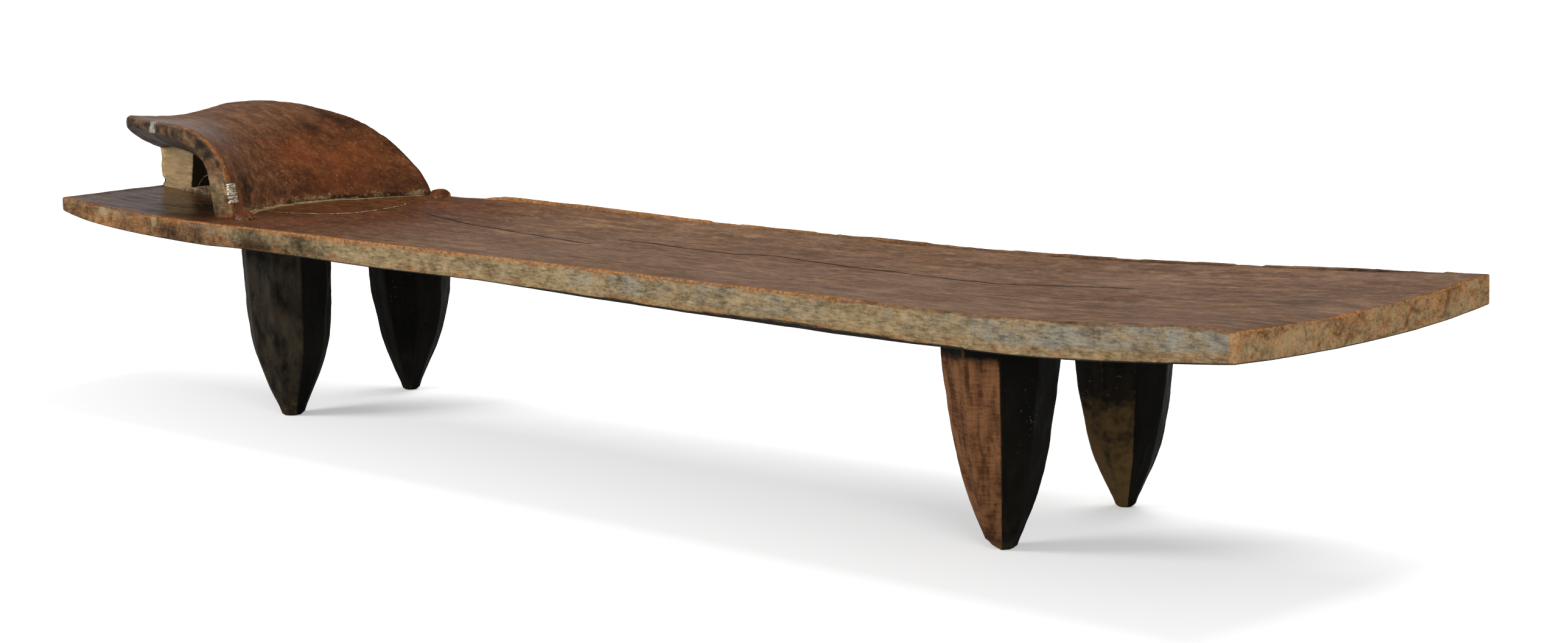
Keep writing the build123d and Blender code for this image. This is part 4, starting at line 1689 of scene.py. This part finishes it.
@dataclass
class RoughBlock:
    """A rough pale block in the hollow: the post or the sill."""

    node: str
    name: str
    seed: int
    voxel: float = 0.002
    cut: float = 0.0032
    growth: float = 0.0
    undercut: Point | None = None

    def build(self, finishes: Finishes) -> None:
        """Make the block."""
        block = blank_from(self.node, self.name, self.voxel, 3)
        points, normals = points_of(block), normals_of(block)
        around = np.stack([points[:, 0] + points[:, 1], points[:, 2]], axis=1)
        upright = 1.0 - np.abs(normals[:, 2])
        cut = self.cut * (1.0 - adze_marks(around, (0.034, 0.028), self.seed)) * upright
        cut += 0.0011 * (1 + cloud(points, (0.02, 0.02, 0.008), self.seed + 1, 3))
        if self.undercut:
            cut += 0.004 * spot(points, self.undercut, (0.016, 0.016, 0.007))
        points = points - normals * (cut - self.growth)[:, None]
        if self.undercut:
            points = sink(points, normals, UP, 0.005)
        points = sink(points, normals, DOWN, 0.005)
        move_points(block, points)
        soot = self.soot(points, normals)
        paint(block, soot=soot * (0.8 + 0.4 * cloud(points, 0.02, self.seed + 2)))
        dress(block, finishes.raw, "raw_wood", self.node)

    def soot(self, points: Array, normals: Array) -> Array:
        """Mask of painted shade with some soot: the post's top under the lip, the whole sill, the faces
        behind and towards the foot, the ground and the notch under the lip.
        """
        z = points[:, 2]
        low, high = z.min(), z.max()
        soot = 0.75 * ease(z, high - 0.022, high - 0.004) if self.undercut else np.full(len(z), 0.55)
        # Painted shade on the faces behind and towards the foot, which face into the dark hollow.
        soot = soot + 0.35 * ease(normals[:, 1], 0.2, 0.8) + 1.1 * ease(normals[:, 0], 0.45, 0.7)
        soot = soot + 0.3 * fall(z, low, low + 0.012)
        if self.undercut:
            soot = soot + spot(points, self.undercut, (0.02, 0.02, 0.01))
        return soot


@dataclass
class RootLug:
    """A low lump left at one end of the headrest's root."""

    node: str
    seed: int
    redness: float
    lift: float = -0.0015
    growth: float = 1.0
    voxel: float = 0.0012
    ground: float = 0.277

    def build(self, finishes: Finishes) -> None:
        """Make the lump."""
        lump = blank_from(self.node, "carved_" + self.node, self.voxel, 5)
        points, normals = points_of(lump), normals_of(lump)
        ripple = 0.0018 * cloud(points, (0.014, 0.01, 0.01), self.seed, 3) - 0.0004
        middle = points.mean(axis=0)
        points = middle + (points - middle) * self.growth + normals * ripple[:, None]
        points[:, 2] += self.lift
        points = sink(points, normals, DOWN, 0.005)
        move_points(lump, points)
        grime = 0.14 + 0.45 * cloud(points, (0.012, 0.008, 0.008), self.seed + 1, 3)
        paint(
            lump,
            red=1.0,
            ember=self.redness,
            wear=0.5 * ease(bend_of(lump, 2), 0.02, 0.12),
            soot=np.maximum(grime, 0.5 * fall(points[:, 2], self.ground, 0.281)),
            dust=0.4 * fall(points[:, 2], self.ground, 0.283),
            gloss=0.2,
        )
        dress(lump, finishes.carved, "worn_wood", self.node)


class LegTone(Enum):
    """How a leg's faces have aged."""

    SCUFFED = "scuffed"
    BLACK = "black"
    BARE = "bare"
    DUSTY = "dusty"


@dataclass
class Leg:
    """One adzed leg: flat cuts from top to foot, with the short strokes of the blade on them."""

    node: str
    tone: LegTone
    seed: int
    ridge_turn: float
    heights: tuple[float, ...]
    radii: tuple[float, ...]
    foot_shift: tuple[float, float] = (0.0, 0.0)
    foot_cut: tuple[float, float, float] | None = None
    faces: int = 9
    stroke: tuple[float, float] = (0.017, 0.05)
    stroke_depth: float = 0.0011
    sides: int = 168
    overlap: float = 0.004

    def build(self, finishes: Finishes) -> None:
        """Make the leg."""
        low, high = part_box(self.node)
        leg = tube_blank("carved_" + self.node, self.sides, (11, 13))
        unit = points_of(leg)
        turn = np.arctan2(unit[:, 1], unit[:, 0])
        z = (unit[:, 2] + 0.5) * (high.z + self.overlap)
        radius = self.wall(turn, z) * (np.hypot(unit[:, 0], unit[:, 1]) > 0.5)
        centre = np.array([(low.x + high.x) / 2, (low.y + high.y) / 2])
        shift = np.outer(fall(z, 0.0, 0.13), np.array(self.foot_shift))
        flat = np.stack([np.cos(turn), np.sin(turn)], axis=1) * radius[:, None] + centre + shift
        if self.foot_cut:
            heading, start, slope = self.foot_cut
            toward = (flat - centre) @ np.array([math.cos(heading), math.sin(heading)])
            lifted = np.maximum(toward - start, 0.0) * slope
            z = np.maximum(z, lifted + 0.0006 * cloud(flat, 0.008, self.seed + 7) * (lifted > 0))
        move_points(leg, np.column_stack([flat, z]))
        face_outwards(leg)
        self.paint_masks(leg, turn)
        dress(leg, finishes.sooted, "dark_wood", self.node)

    def behind(self, turn: Array) -> Array:
        """Angle of each place after the leg's foremost ridge."""
        return (turn - math.radians(self.ridge_turn)) % (2.0 * math.pi)

    def outline(self, turn: Array, z: Array) -> Array:
        """Radius of the leg's flat cuts, as a share of its profile.

        Args:
            turn: Angle of each place around the leg.
            z: Height of each place.

        Returns:
            The radius at each place, close to 1.
        """
        rng = np.random.default_rng(self.seed)
        beyond = 9.0
        outline = np.full(len(turn), beyond)
        for face in range(self.faces):
            middle = math.radians(self.ridge_turn) + (face + 0.5) * 2.0 * math.pi / self.faces
            if 0 < face < self.faces - 1:
                middle = middle + 0.07 * cloud(z[:, None] + face, 0.09, self.seed + face)
            depth = rng.uniform(0.965, 0.985) + 0.012 * cloud(z[:, None] - face, 0.08, self.seed + 20 + face)
            away = (turn - middle + math.pi) % (2.0 * math.pi) - math.pi
            plane = depth / np.cos(np.clip(away, -1.0, 1.0))
            outline = np.minimum(outline, np.where(np.abs(away) < 1.0, plane, beyond))
        return outline

    def wall(self, turn: Array, z: Array) -> Array:
        """Radius of the adzed wall at each turn and height."""
        steps = (-0.012, -0.006, 0.0, 0.006, 0.012)
        profile = np.mean([np.interp(z + step, self.heights, self.radii) for step in steps], axis=0)
        behind = self.behind(turn)
        unrolled = np.stack([behind * 0.05, z + 0.012 * np.sin(3.0 * behind)], axis=1)
        marks = adze_marks(unrolled, self.stroke, self.seed + 40)
        around = np.stack([np.cos(turn) * 0.05, np.sin(turn) * 0.05, z], axis=1)
        fine = 0.0004 * cloud(around, (0.009, 0.009, 0.014), self.seed + 3, 3)
        cut = self.stroke_depth * (1.0 - marks) * ease(z, 0.0, 0.03)
        foot = 0.0035 * fall(z, 0.0, 0.005) ** 2
        return np.maximum(profile * self.outline(turn, z) - cut + fine - foot, 0.003)

    def paint_masks(self, leg: Piece, turn: Array) -> None:
        """Paint bare, tan and scuffed areas by the leg's tone, mostly on the lit side; the far faces stay
        black, partly as painted shade.
        """
        points, behind = points_of(leg), self.behind(turn)
        z = points[:, 2]
        # The lit side: the faces left of the foremost ridge, towards the key lamp. Keeping the brown masks to
        # it leaves the far faces black, partly as painted shade.
        left = ease(behind, math.pi, math.pi + 0.4) * ease(2.0 * math.pi - behind, -0.02, 0.05)
        foot = fall(z, 0.004, 0.05)
        patch = 0.7 + 0.6 * cloud(points, (0.05, 0.05, 0.07), self.seed + 11, 3)
        scuff, tan, rubbed = {
            LegTone.SCUFFED: (0.95 * left + 0.12, 0.35 * foot * left, 0.12),
            LegTone.BLACK: (0.16 + 0.4 * fall(z, 0.03, 0.08) * left, 0.0, 0.12),
            LegTone.BARE: (0.12 + 0.3 * foot, 0.5 * fall(z, 0.003, 0.018) * left, 0.55),
            LegTone.DUSTY: (0.35 * left + 0.1, 0.9 * left * fall(z, 0.1, 0.165) * (0.4 + 0.6 * patch), 0.55),
        }[self.tone]
        bare = left * fall(z, 0.205, 0.232) * (1.0 - 0.55 * foot) * (0.9 + 0.2 * patch)
        paint(
            leg,
            scuff=scuff * patch,
            bare=bare if self.tone is LegTone.BARE else 0.0,
            tan=tan,
            wear=rubbed * ease(bend_of(leg, 1), 0.03, 0.12) * left,
        )


# --------------------------------------------------------------------------------------
# Small pieces: wire, plug, dust and fibres
# --------------------------------------------------------------------------------------


@dataclass
class Stitches:
    """Five loops of wire that draw the split at the front of the headrest together."""

    node: str = "repair_stitches"
    wire: float = 0.0036
    count: int = 5
    strands: int = 2

    def build(self, finishes: Finishes) -> None:
        """Make the loops where the frame has its rings."""
        rng = np.random.default_rng(5)
        low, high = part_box(self.node)
        loops = []
        for share in np.linspace(0.0, 1.0, self.count):
            height = high.z - 0.0035 - (high.z - low.z - 0.0065) * share
            x = (low.x + high.x) / 2 - 0.0045 + 0.005 * share
            for strand in range(self.strands):
                loops.append(self.loop((x, (low.y + high.y) / 2, height), strand, rng))
        select_only(loops[0])
        for loop in loops:
            loop.select_set(True)
        bpy.ops.object.join()
        loops[0].name = "repair_wires"
        dress(loops[0], finishes.wire, "wire", self.node)

    def loop(self, place: Point, strand: int, rng: np.random.Generator) -> Piece:
        """One strand of one loop, bent by hand.

        Args:
            place: Middle of the loop.
            strand: Number of the strand.
            rng: Source of its unevenness.

        Returns:
            The strand.
        """
        radius = rng.uniform(0.0046, 0.006)
        turn = (math.radians(rng.uniform(-6, 10)), math.radians(rng.uniform(-16, 0)), 0.0)
        offset = 0.0018 * (strand - 0.5) + rng.uniform(-0.0003, 0.0003)
        loop = add_primitive(
            "wire_loop", bpy.ops.mesh.primitive_torus_add,
            location=(place[0], place[1], place[2] + offset), rotation=turn,
            major_radius=radius, minor_radius=self.wire / 2, major_segments=48, minor_segments=12,
        )
        bpy.ops.object.transform_apply(location=True, rotation=True, scale=True)
        points = points_of(loop)
        bent = [cloud(points, 0.009, int(rng.integers(999))) for _ in range(3)]
        move_points(loop, points + 0.0004 * np.stack(bent, axis=1))
        return loop


@dataclass
class Plug:
    """The grey plug let into the edge of the lip."""

    node: str = "lip_plug"
    fill: Point = (0.72, 0.92, 0.92)
    widening: float = 1.15
    narrowing: float = 0.62
    lean: float = 0.003

    def build(self, finishes: Finishes) -> None:
        """Make the plug: a tapered block with soft, uneven faces."""
        low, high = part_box(self.node)
        middle, size = (low + high) / 2, high - low
        plug = add_primitive("grey_plug", bpy.ops.mesh.primitive_cube_add, size=1.0, location=middle)
        plug.scale = [share * length for share, length in zip(self.fill, size)]
        bpy.ops.object.transform_apply(location=True, rotation=True, scale=True)
        edit_all(plug, bpy.ops.mesh.subdivide, number_cuts=14)
        points = points_of(plug)
        share = (points[:, 2] - low.z) / size.z
        taper = self.widening - (self.widening - self.narrowing) * share
        points[:, 0] = middle.x + (points[:, 0] - middle.x) * taper + self.lean * (share - 0.5)
        move_points(plug, points)
        apply_modifier(plug, "SMOOTH", factor=0.6, iterations=5)
        points, normals = points_of(plug), normals_of(plug)
        move_points(plug, points + normals * (0.0005 * cloud(points, 0.005, 7, 3))[:, None])
        dress(plug, finishes.plug, "filler", self.node)


@dataclass
class DustLine:
    """A low ragged line of lodged dust or splinter along a path on the surface."""

    name: str
    path: list[Point]
    width: float
    height: float
    seed: int
    spacing: float = 0.0016
    sides: int = 7
    wander: float = 0.0022
    most_rings: int = 380

    def build(self, finishes: Finishes) -> None:
        """Make the line as a thin, uneven half round."""
        path = self.smooth_path()
        steps = np.gradient(path, axis=0)
        steps /= np.linalg.norm(steps, axis=1)[:, None]
        across = np.cross(steps, np.array(UP))
        across /= np.linalg.norm(across, axis=1)[:, None]
        share = np.linspace(0.0, 1.0, len(path))
        taper = np.sqrt(np.clip(np.minimum(share, 1.0 - share) * 12.0, 0.0, 1.0))
        lumps = np.clip(0.7 + 1.3 * cloud(path, 0.01, self.seed, 3), 0.05, 2.2) * taper
        line = tube_blank(self.name, self.sides, (18, math.ceil(len(path) / 19) - 1))
        points = points_of(line)
        ring = np.clip(np.round((points[:, 2] + 0.5) * (len(path) - 1)).astype(int), 0, len(path) - 1)
        spread = np.array([1.0, 1.0, len(path) * 0.4])
        size = lumps[ring] * (1.0 + 0.35 * cloud(points * spread, 0.7, self.seed + 1))
        placed = path[ring] + across[ring] * (points[:, 0] * self.width * size)[:, None]
        placed[:, 2] += points[:, 1] * self.height * size
        move_points(line, placed)
        face_outwards(line)
        dress(line, finishes.dust, "raw_wood")

    def smooth_path(self) -> Array:
        """The path as evenly spaced points with a little wander."""
        path = np.array(self.path)
        lengths = np.concatenate([[0.0], np.cumsum(np.linalg.norm(np.diff(path, axis=0), axis=1))])
        count = min(int(lengths[-1] / self.spacing), self.most_rings)
        even = np.linspace(0.0, lengths[-1], count)
        smooth = np.stack([np.interp(even, lengths, path[:, axis]) for axis in range(3)], axis=1)
        for axis in range(2):
            smooth[:, axis] += self.wander * cloud(even[:, None], 0.03, self.seed + 2 + 2 * axis, 3)
        return smooth


def crease_path(lift: float = 0.0012) -> list[Point]:
    """Path of the crease between the headrest and the plank, probed on the frame's solids."""
    sheet, plank = solid_tree("headrest"), solid_tree("deck")
    path = []
    for y in np.linspace(-0.132, 0.186, 22):
        ground = top_at(plank, -0.7, y)
        hit = sheet.ray_cast(Vector((-0.5, y, ground + 0.003)), Vector((-1.0, 0.0, 0.0)))[0]
        if hit is not None:
            path.append((hit.x + 0.001, float(y), ground + lift))
    return path


def check_path(lift: float = 0.0008) -> list[Point]:
    """Path of a curved check in the plank beside the headrest, laid on the plank's solid."""
    plan = (
        (-0.717, -0.065), (-0.658, -0.049), (-0.628, -0.027), (-0.608, 0.004), (-0.607, 0.055),
        (-0.614, 0.106), (-0.632, 0.122),
    )
    plank = solid_tree("deck")
    path = []
    for (x, y), (next_x, next_y) in zip(plan, plan[1:]):
        for share in (0.0, 0.25, 0.5, 0.75):
            place = (x + (next_x - x) * share, y + (next_y - y) * share)
            path.append((*place, top_at(plank, *place) + lift))
    return path


# --------------------------------------------------------------------------------------
# The studio
# --------------------------------------------------------------------------------------


@dataclass(frozen=True)
class Lamp:
    """A square lamp that looks at a place on the bed."""

    name: str
    place: Point
    target: Point
    size: float
    power: float
    in_reflections: bool = False

    def build(self) -> None:
        """Add the lamp."""
        data = bpy.data.lights.new(self.name, "AREA")
        data.shape = "SQUARE"
        data.size = self.size
        data.energy = self.power
        lamp = bpy.data.objects.new(self.name, data)
        lamp.location = self.place
        lamp.rotation_euler = (Vector(self.target) - Vector(self.place)).to_track_quat("-Z", "Y").to_euler()
        lamp.visible_glossy = self.in_reflections
        bpy.context.scene.collection.objects.link(lamp)


@dataclass(frozen=True)
class Studio:
    """Camera, lamps, world and floor."""

    focal_pixels: float = 4722.78
    picture_width: float = 2576.0
    picture_height: float = 1056.0
    centre_x: float = 1287.98
    centre_y: float = 522.63
    place: Point = (2.624266, -2.517947, 0.759870)
    yaw: float = -0.759594
    pitch: float = 0.160160
    roll: float = -0.0278181
    sensor_width: float = 36.0
    floor_size: float = 80.0
    lamps: tuple[Lamp, ...] = (
        Lamp("key", (-2.8, -3.2, 2.4), (-0.1, 0.0, 0.2), 1.6, 126.0, in_reflections=True),
        Lamp("fill", (4.0, -2.4, 1.5), (0.2, 0.0, 0.2), 2.2, 78.0),
        Lamp("top", (0.1, 1.7, 3.2), (0.1, 0.0, 0.2), 2.0, 90.0),
    )

    def build(self) -> None:
        """Set everything up."""
        self.add_camera()
        self.add_floor()
        for lamp in self.lamps:
            lamp.build()
        self.set_world()
        bpy.context.scene.view_settings.view_transform = "Standard"

    def add_camera(self) -> None:
        """The camera, at the place and angle of the main view."""
        level_reach = math.cos(self.pitch)
        forward = Vector((
            math.sin(self.yaw) * level_reach, math.cos(self.yaw) * level_reach, -math.sin(self.pitch),
        ))
        level = Vector((math.cos(self.yaw), -math.sin(self.yaw), 0.0))
        up = level.cross(forward)
        right = math.cos(self.roll) * level + math.sin(self.roll) * up
        up = math.cos(self.roll) * up - math.sin(self.roll) * level
        data = bpy.data.cameras.new("main_view")
        data.sensor_width = self.sensor_width
        data.lens = self.focal_pixels / self.picture_width * data.sensor_width
        data.shift_x = (self.picture_width / 2 - self.centre_x) / self.picture_width
        data.shift_y = (self.centre_y - self.picture_height / 2) / self.picture_width
        data.clip_end = 200.0
        camera = bpy.data.objects.new("main_view", data)
        bpy.context.scene.collection.objects.link(camera)
        turn = Matrix((right, up, -forward)).transposed().to_4x4()
        camera.matrix_world = Matrix.Translation(Vector(self.place)) @ turn
        bpy.context.scene.camera = camera

    def add_floor(self) -> None:
        """A wide pale floor that keeps a faint shadow."""
        floor = add_primitive("studio_floor", bpy.ops.mesh.primitive_plane_add, size=self.floor_size)
        material = bpy.data.materials.new("pale_floor")
        material.use_nodes = True
        tree = material.node_tree
        tree.nodes.clear()
        recipe = Recipe(tree)
        seen = recipe.add("ShaderNodeLightPath").outputs["Is Camera Ray"]
        white = recipe.mix(seen, (0.7, 0.7, 0.7, 1.0), (0.92, 0.92, 0.92, 1.0))
        matt = recipe.add("ShaderNodeBsdfDiffuse", {"Color": white})
        place = recipe.add("ShaderNodeTexCoord").outputs["Object"]
        away = recipe.add("ShaderNodeVectorMath", {0: place}, operation="LENGTH").outputs["Value"]
        lift = recipe.math("MULTIPLY", seen, recipe.span(recipe.rise(away, 1.0, 4.0), 0.325, 1.0))
        glow = recipe.add("ShaderNodeEmission", {"Color": (1.0, 1.0, 1.0, 1.0), "Strength": lift})
        blend = recipe.add("ShaderNodeAddShader", {0: matt.outputs[0], 1: glow.outputs[0]})
        recipe.add("ShaderNodeOutputMaterial", {"Surface": blend.outputs[0]})
        floor.data.materials.append(material)

    def set_world(self) -> None:
        """A white background to camera and reflections, and a softer light on the bed."""
        world = bpy.data.worlds.new("white_studio")
        bpy.context.scene.world = world
        world.use_nodes = True
        tree = world.node_tree
        tree.nodes.clear()
        recipe = Recipe(tree)
        path = recipe.add("ShaderNodeLightPath")
        heading = recipe.add("ShaderNodeTexCoord").outputs["Generated"]
        height = recipe.add("ShaderNodeSeparateXYZ", {"Vector": heading}).outputs["Z"]
        mirrored = recipe.span(recipe.rise(height, 0.05, 0.6), 0.42, 0.1)
        extra = recipe.math("SUBTRACT", mirrored, 0.34)
        extra = recipe.math("MULTIPLY", path.outputs["Is Glossy Ray"], extra)
        strength = recipe.math("ADD", extra, recipe.span(path.outputs["Is Camera Ray"], 0.34, 1.0))
        back = recipe.add("ShaderNodeBackground", {"Color": (1.0, 1.0, 1.0, 1.0), "Strength": strength})
        recipe.add("ShaderNodeOutputWorld", {"Surface": back.outputs[0]})


# --------------------------------------------------------------------------------------
# Putting it together
# --------------------------------------------------------------------------------------


LEGS = (
    Leg(
        "leg_head_front", LegTone.SCUFFED, 11, -18.0,
        (0.0, 0.012, 0.03, 0.06, 0.08, 0.1, 0.14, 0.2, 0.26),
        (0.0135, 0.0193, 0.0278, 0.0398, 0.047, 0.0525, 0.0576, 0.06, 0.0615), (-0.002, -0.0018),
    ),
    Leg(
        "leg_head_back", LegTone.BLACK, 12, -30.0,
        (0.0, 0.012, 0.03, 0.06, 0.08, 0.1, 0.14, 0.18, 0.26),
        (0.0095, 0.0156, 0.0228, 0.0361, 0.0436, 0.0485, 0.0564, 0.06, 0.0635), (-0.0035, -0.004),
    ),
    Leg(
        "leg_foot_front", LegTone.BARE, 13, -51.0,
        (0.0, 0.012, 0.03, 0.06, 0.1, 0.14, 0.18, 0.2, 0.25),
        (0.0135, 0.0195, 0.0274, 0.038, 0.0483, 0.0555, 0.06, 0.0627, 0.067), (-0.0006, -0.0006),
        foot_cut=(math.radians(-137.0), 0.004, 0.73),
    ),
    Leg(
        "leg_foot_back", LegTone.DUSTY, 14, -39.0,
        (0.0, 0.012, 0.03, 0.06, 0.08, 0.1, 0.14, 0.18, 0.25),
        (0.009, 0.0152, 0.0248, 0.037, 0.043, 0.047, 0.0535, 0.0575, 0.0615),
    ),
)
FIBRE = [(-0.930, -0.031, 0.2965), (-0.922, -0.031, 0.304), (-0.913, -0.030, 0.312), (-0.905, -0.030, 0.322)]
FORK = [(-0.915, -0.031, 0.310), (-0.911, -0.031, 0.312), (-0.906, -0.029, 0.3145), (-0.902, -0.027, 0.315)]


def main() -> None:
    """Build the studio and every piece."""
    logging.basicConfig(level=logging.INFO, format="%(name)s: %(message)s")
    Studio().build()
    finishes = Finishes.build()
    pieces = (
        Deck(),
        BackRim(),
        Headrest(),
        RoughBlock("headrest_post", "rough_post", 140, growth=0.0025, undercut=(-1.057, -0.011, 0.296)),
        RoughBlock("hollow_sill", "rough_sill", 150, cut=0.002),
        RootLug("front_root_lug", 160, 0.4, growth=1.2),
        RootLug("back_root_lug", 170, 0.6, lift=0.0012),
        *LEGS,
        Stitches(),
        Plug(),
        DustLine("crease_dust", crease_path(), 0.0009, 0.0005, 31, wander=0.003),
        DustLine("surface_check", check_path(), 0.0012, 0.0004, 47),
        DustLine("loose_fibre", FIBRE, 0.0006, 0.0006, 51, wander=0.0004),
        DustLine("loose_fibre_fork", FORK, 0.0005, 0.0005, 53, wander=0.0003),
    )
    for piece in pieces:
        piece.build(finishes)


if __name__ == "__main__":
    main()
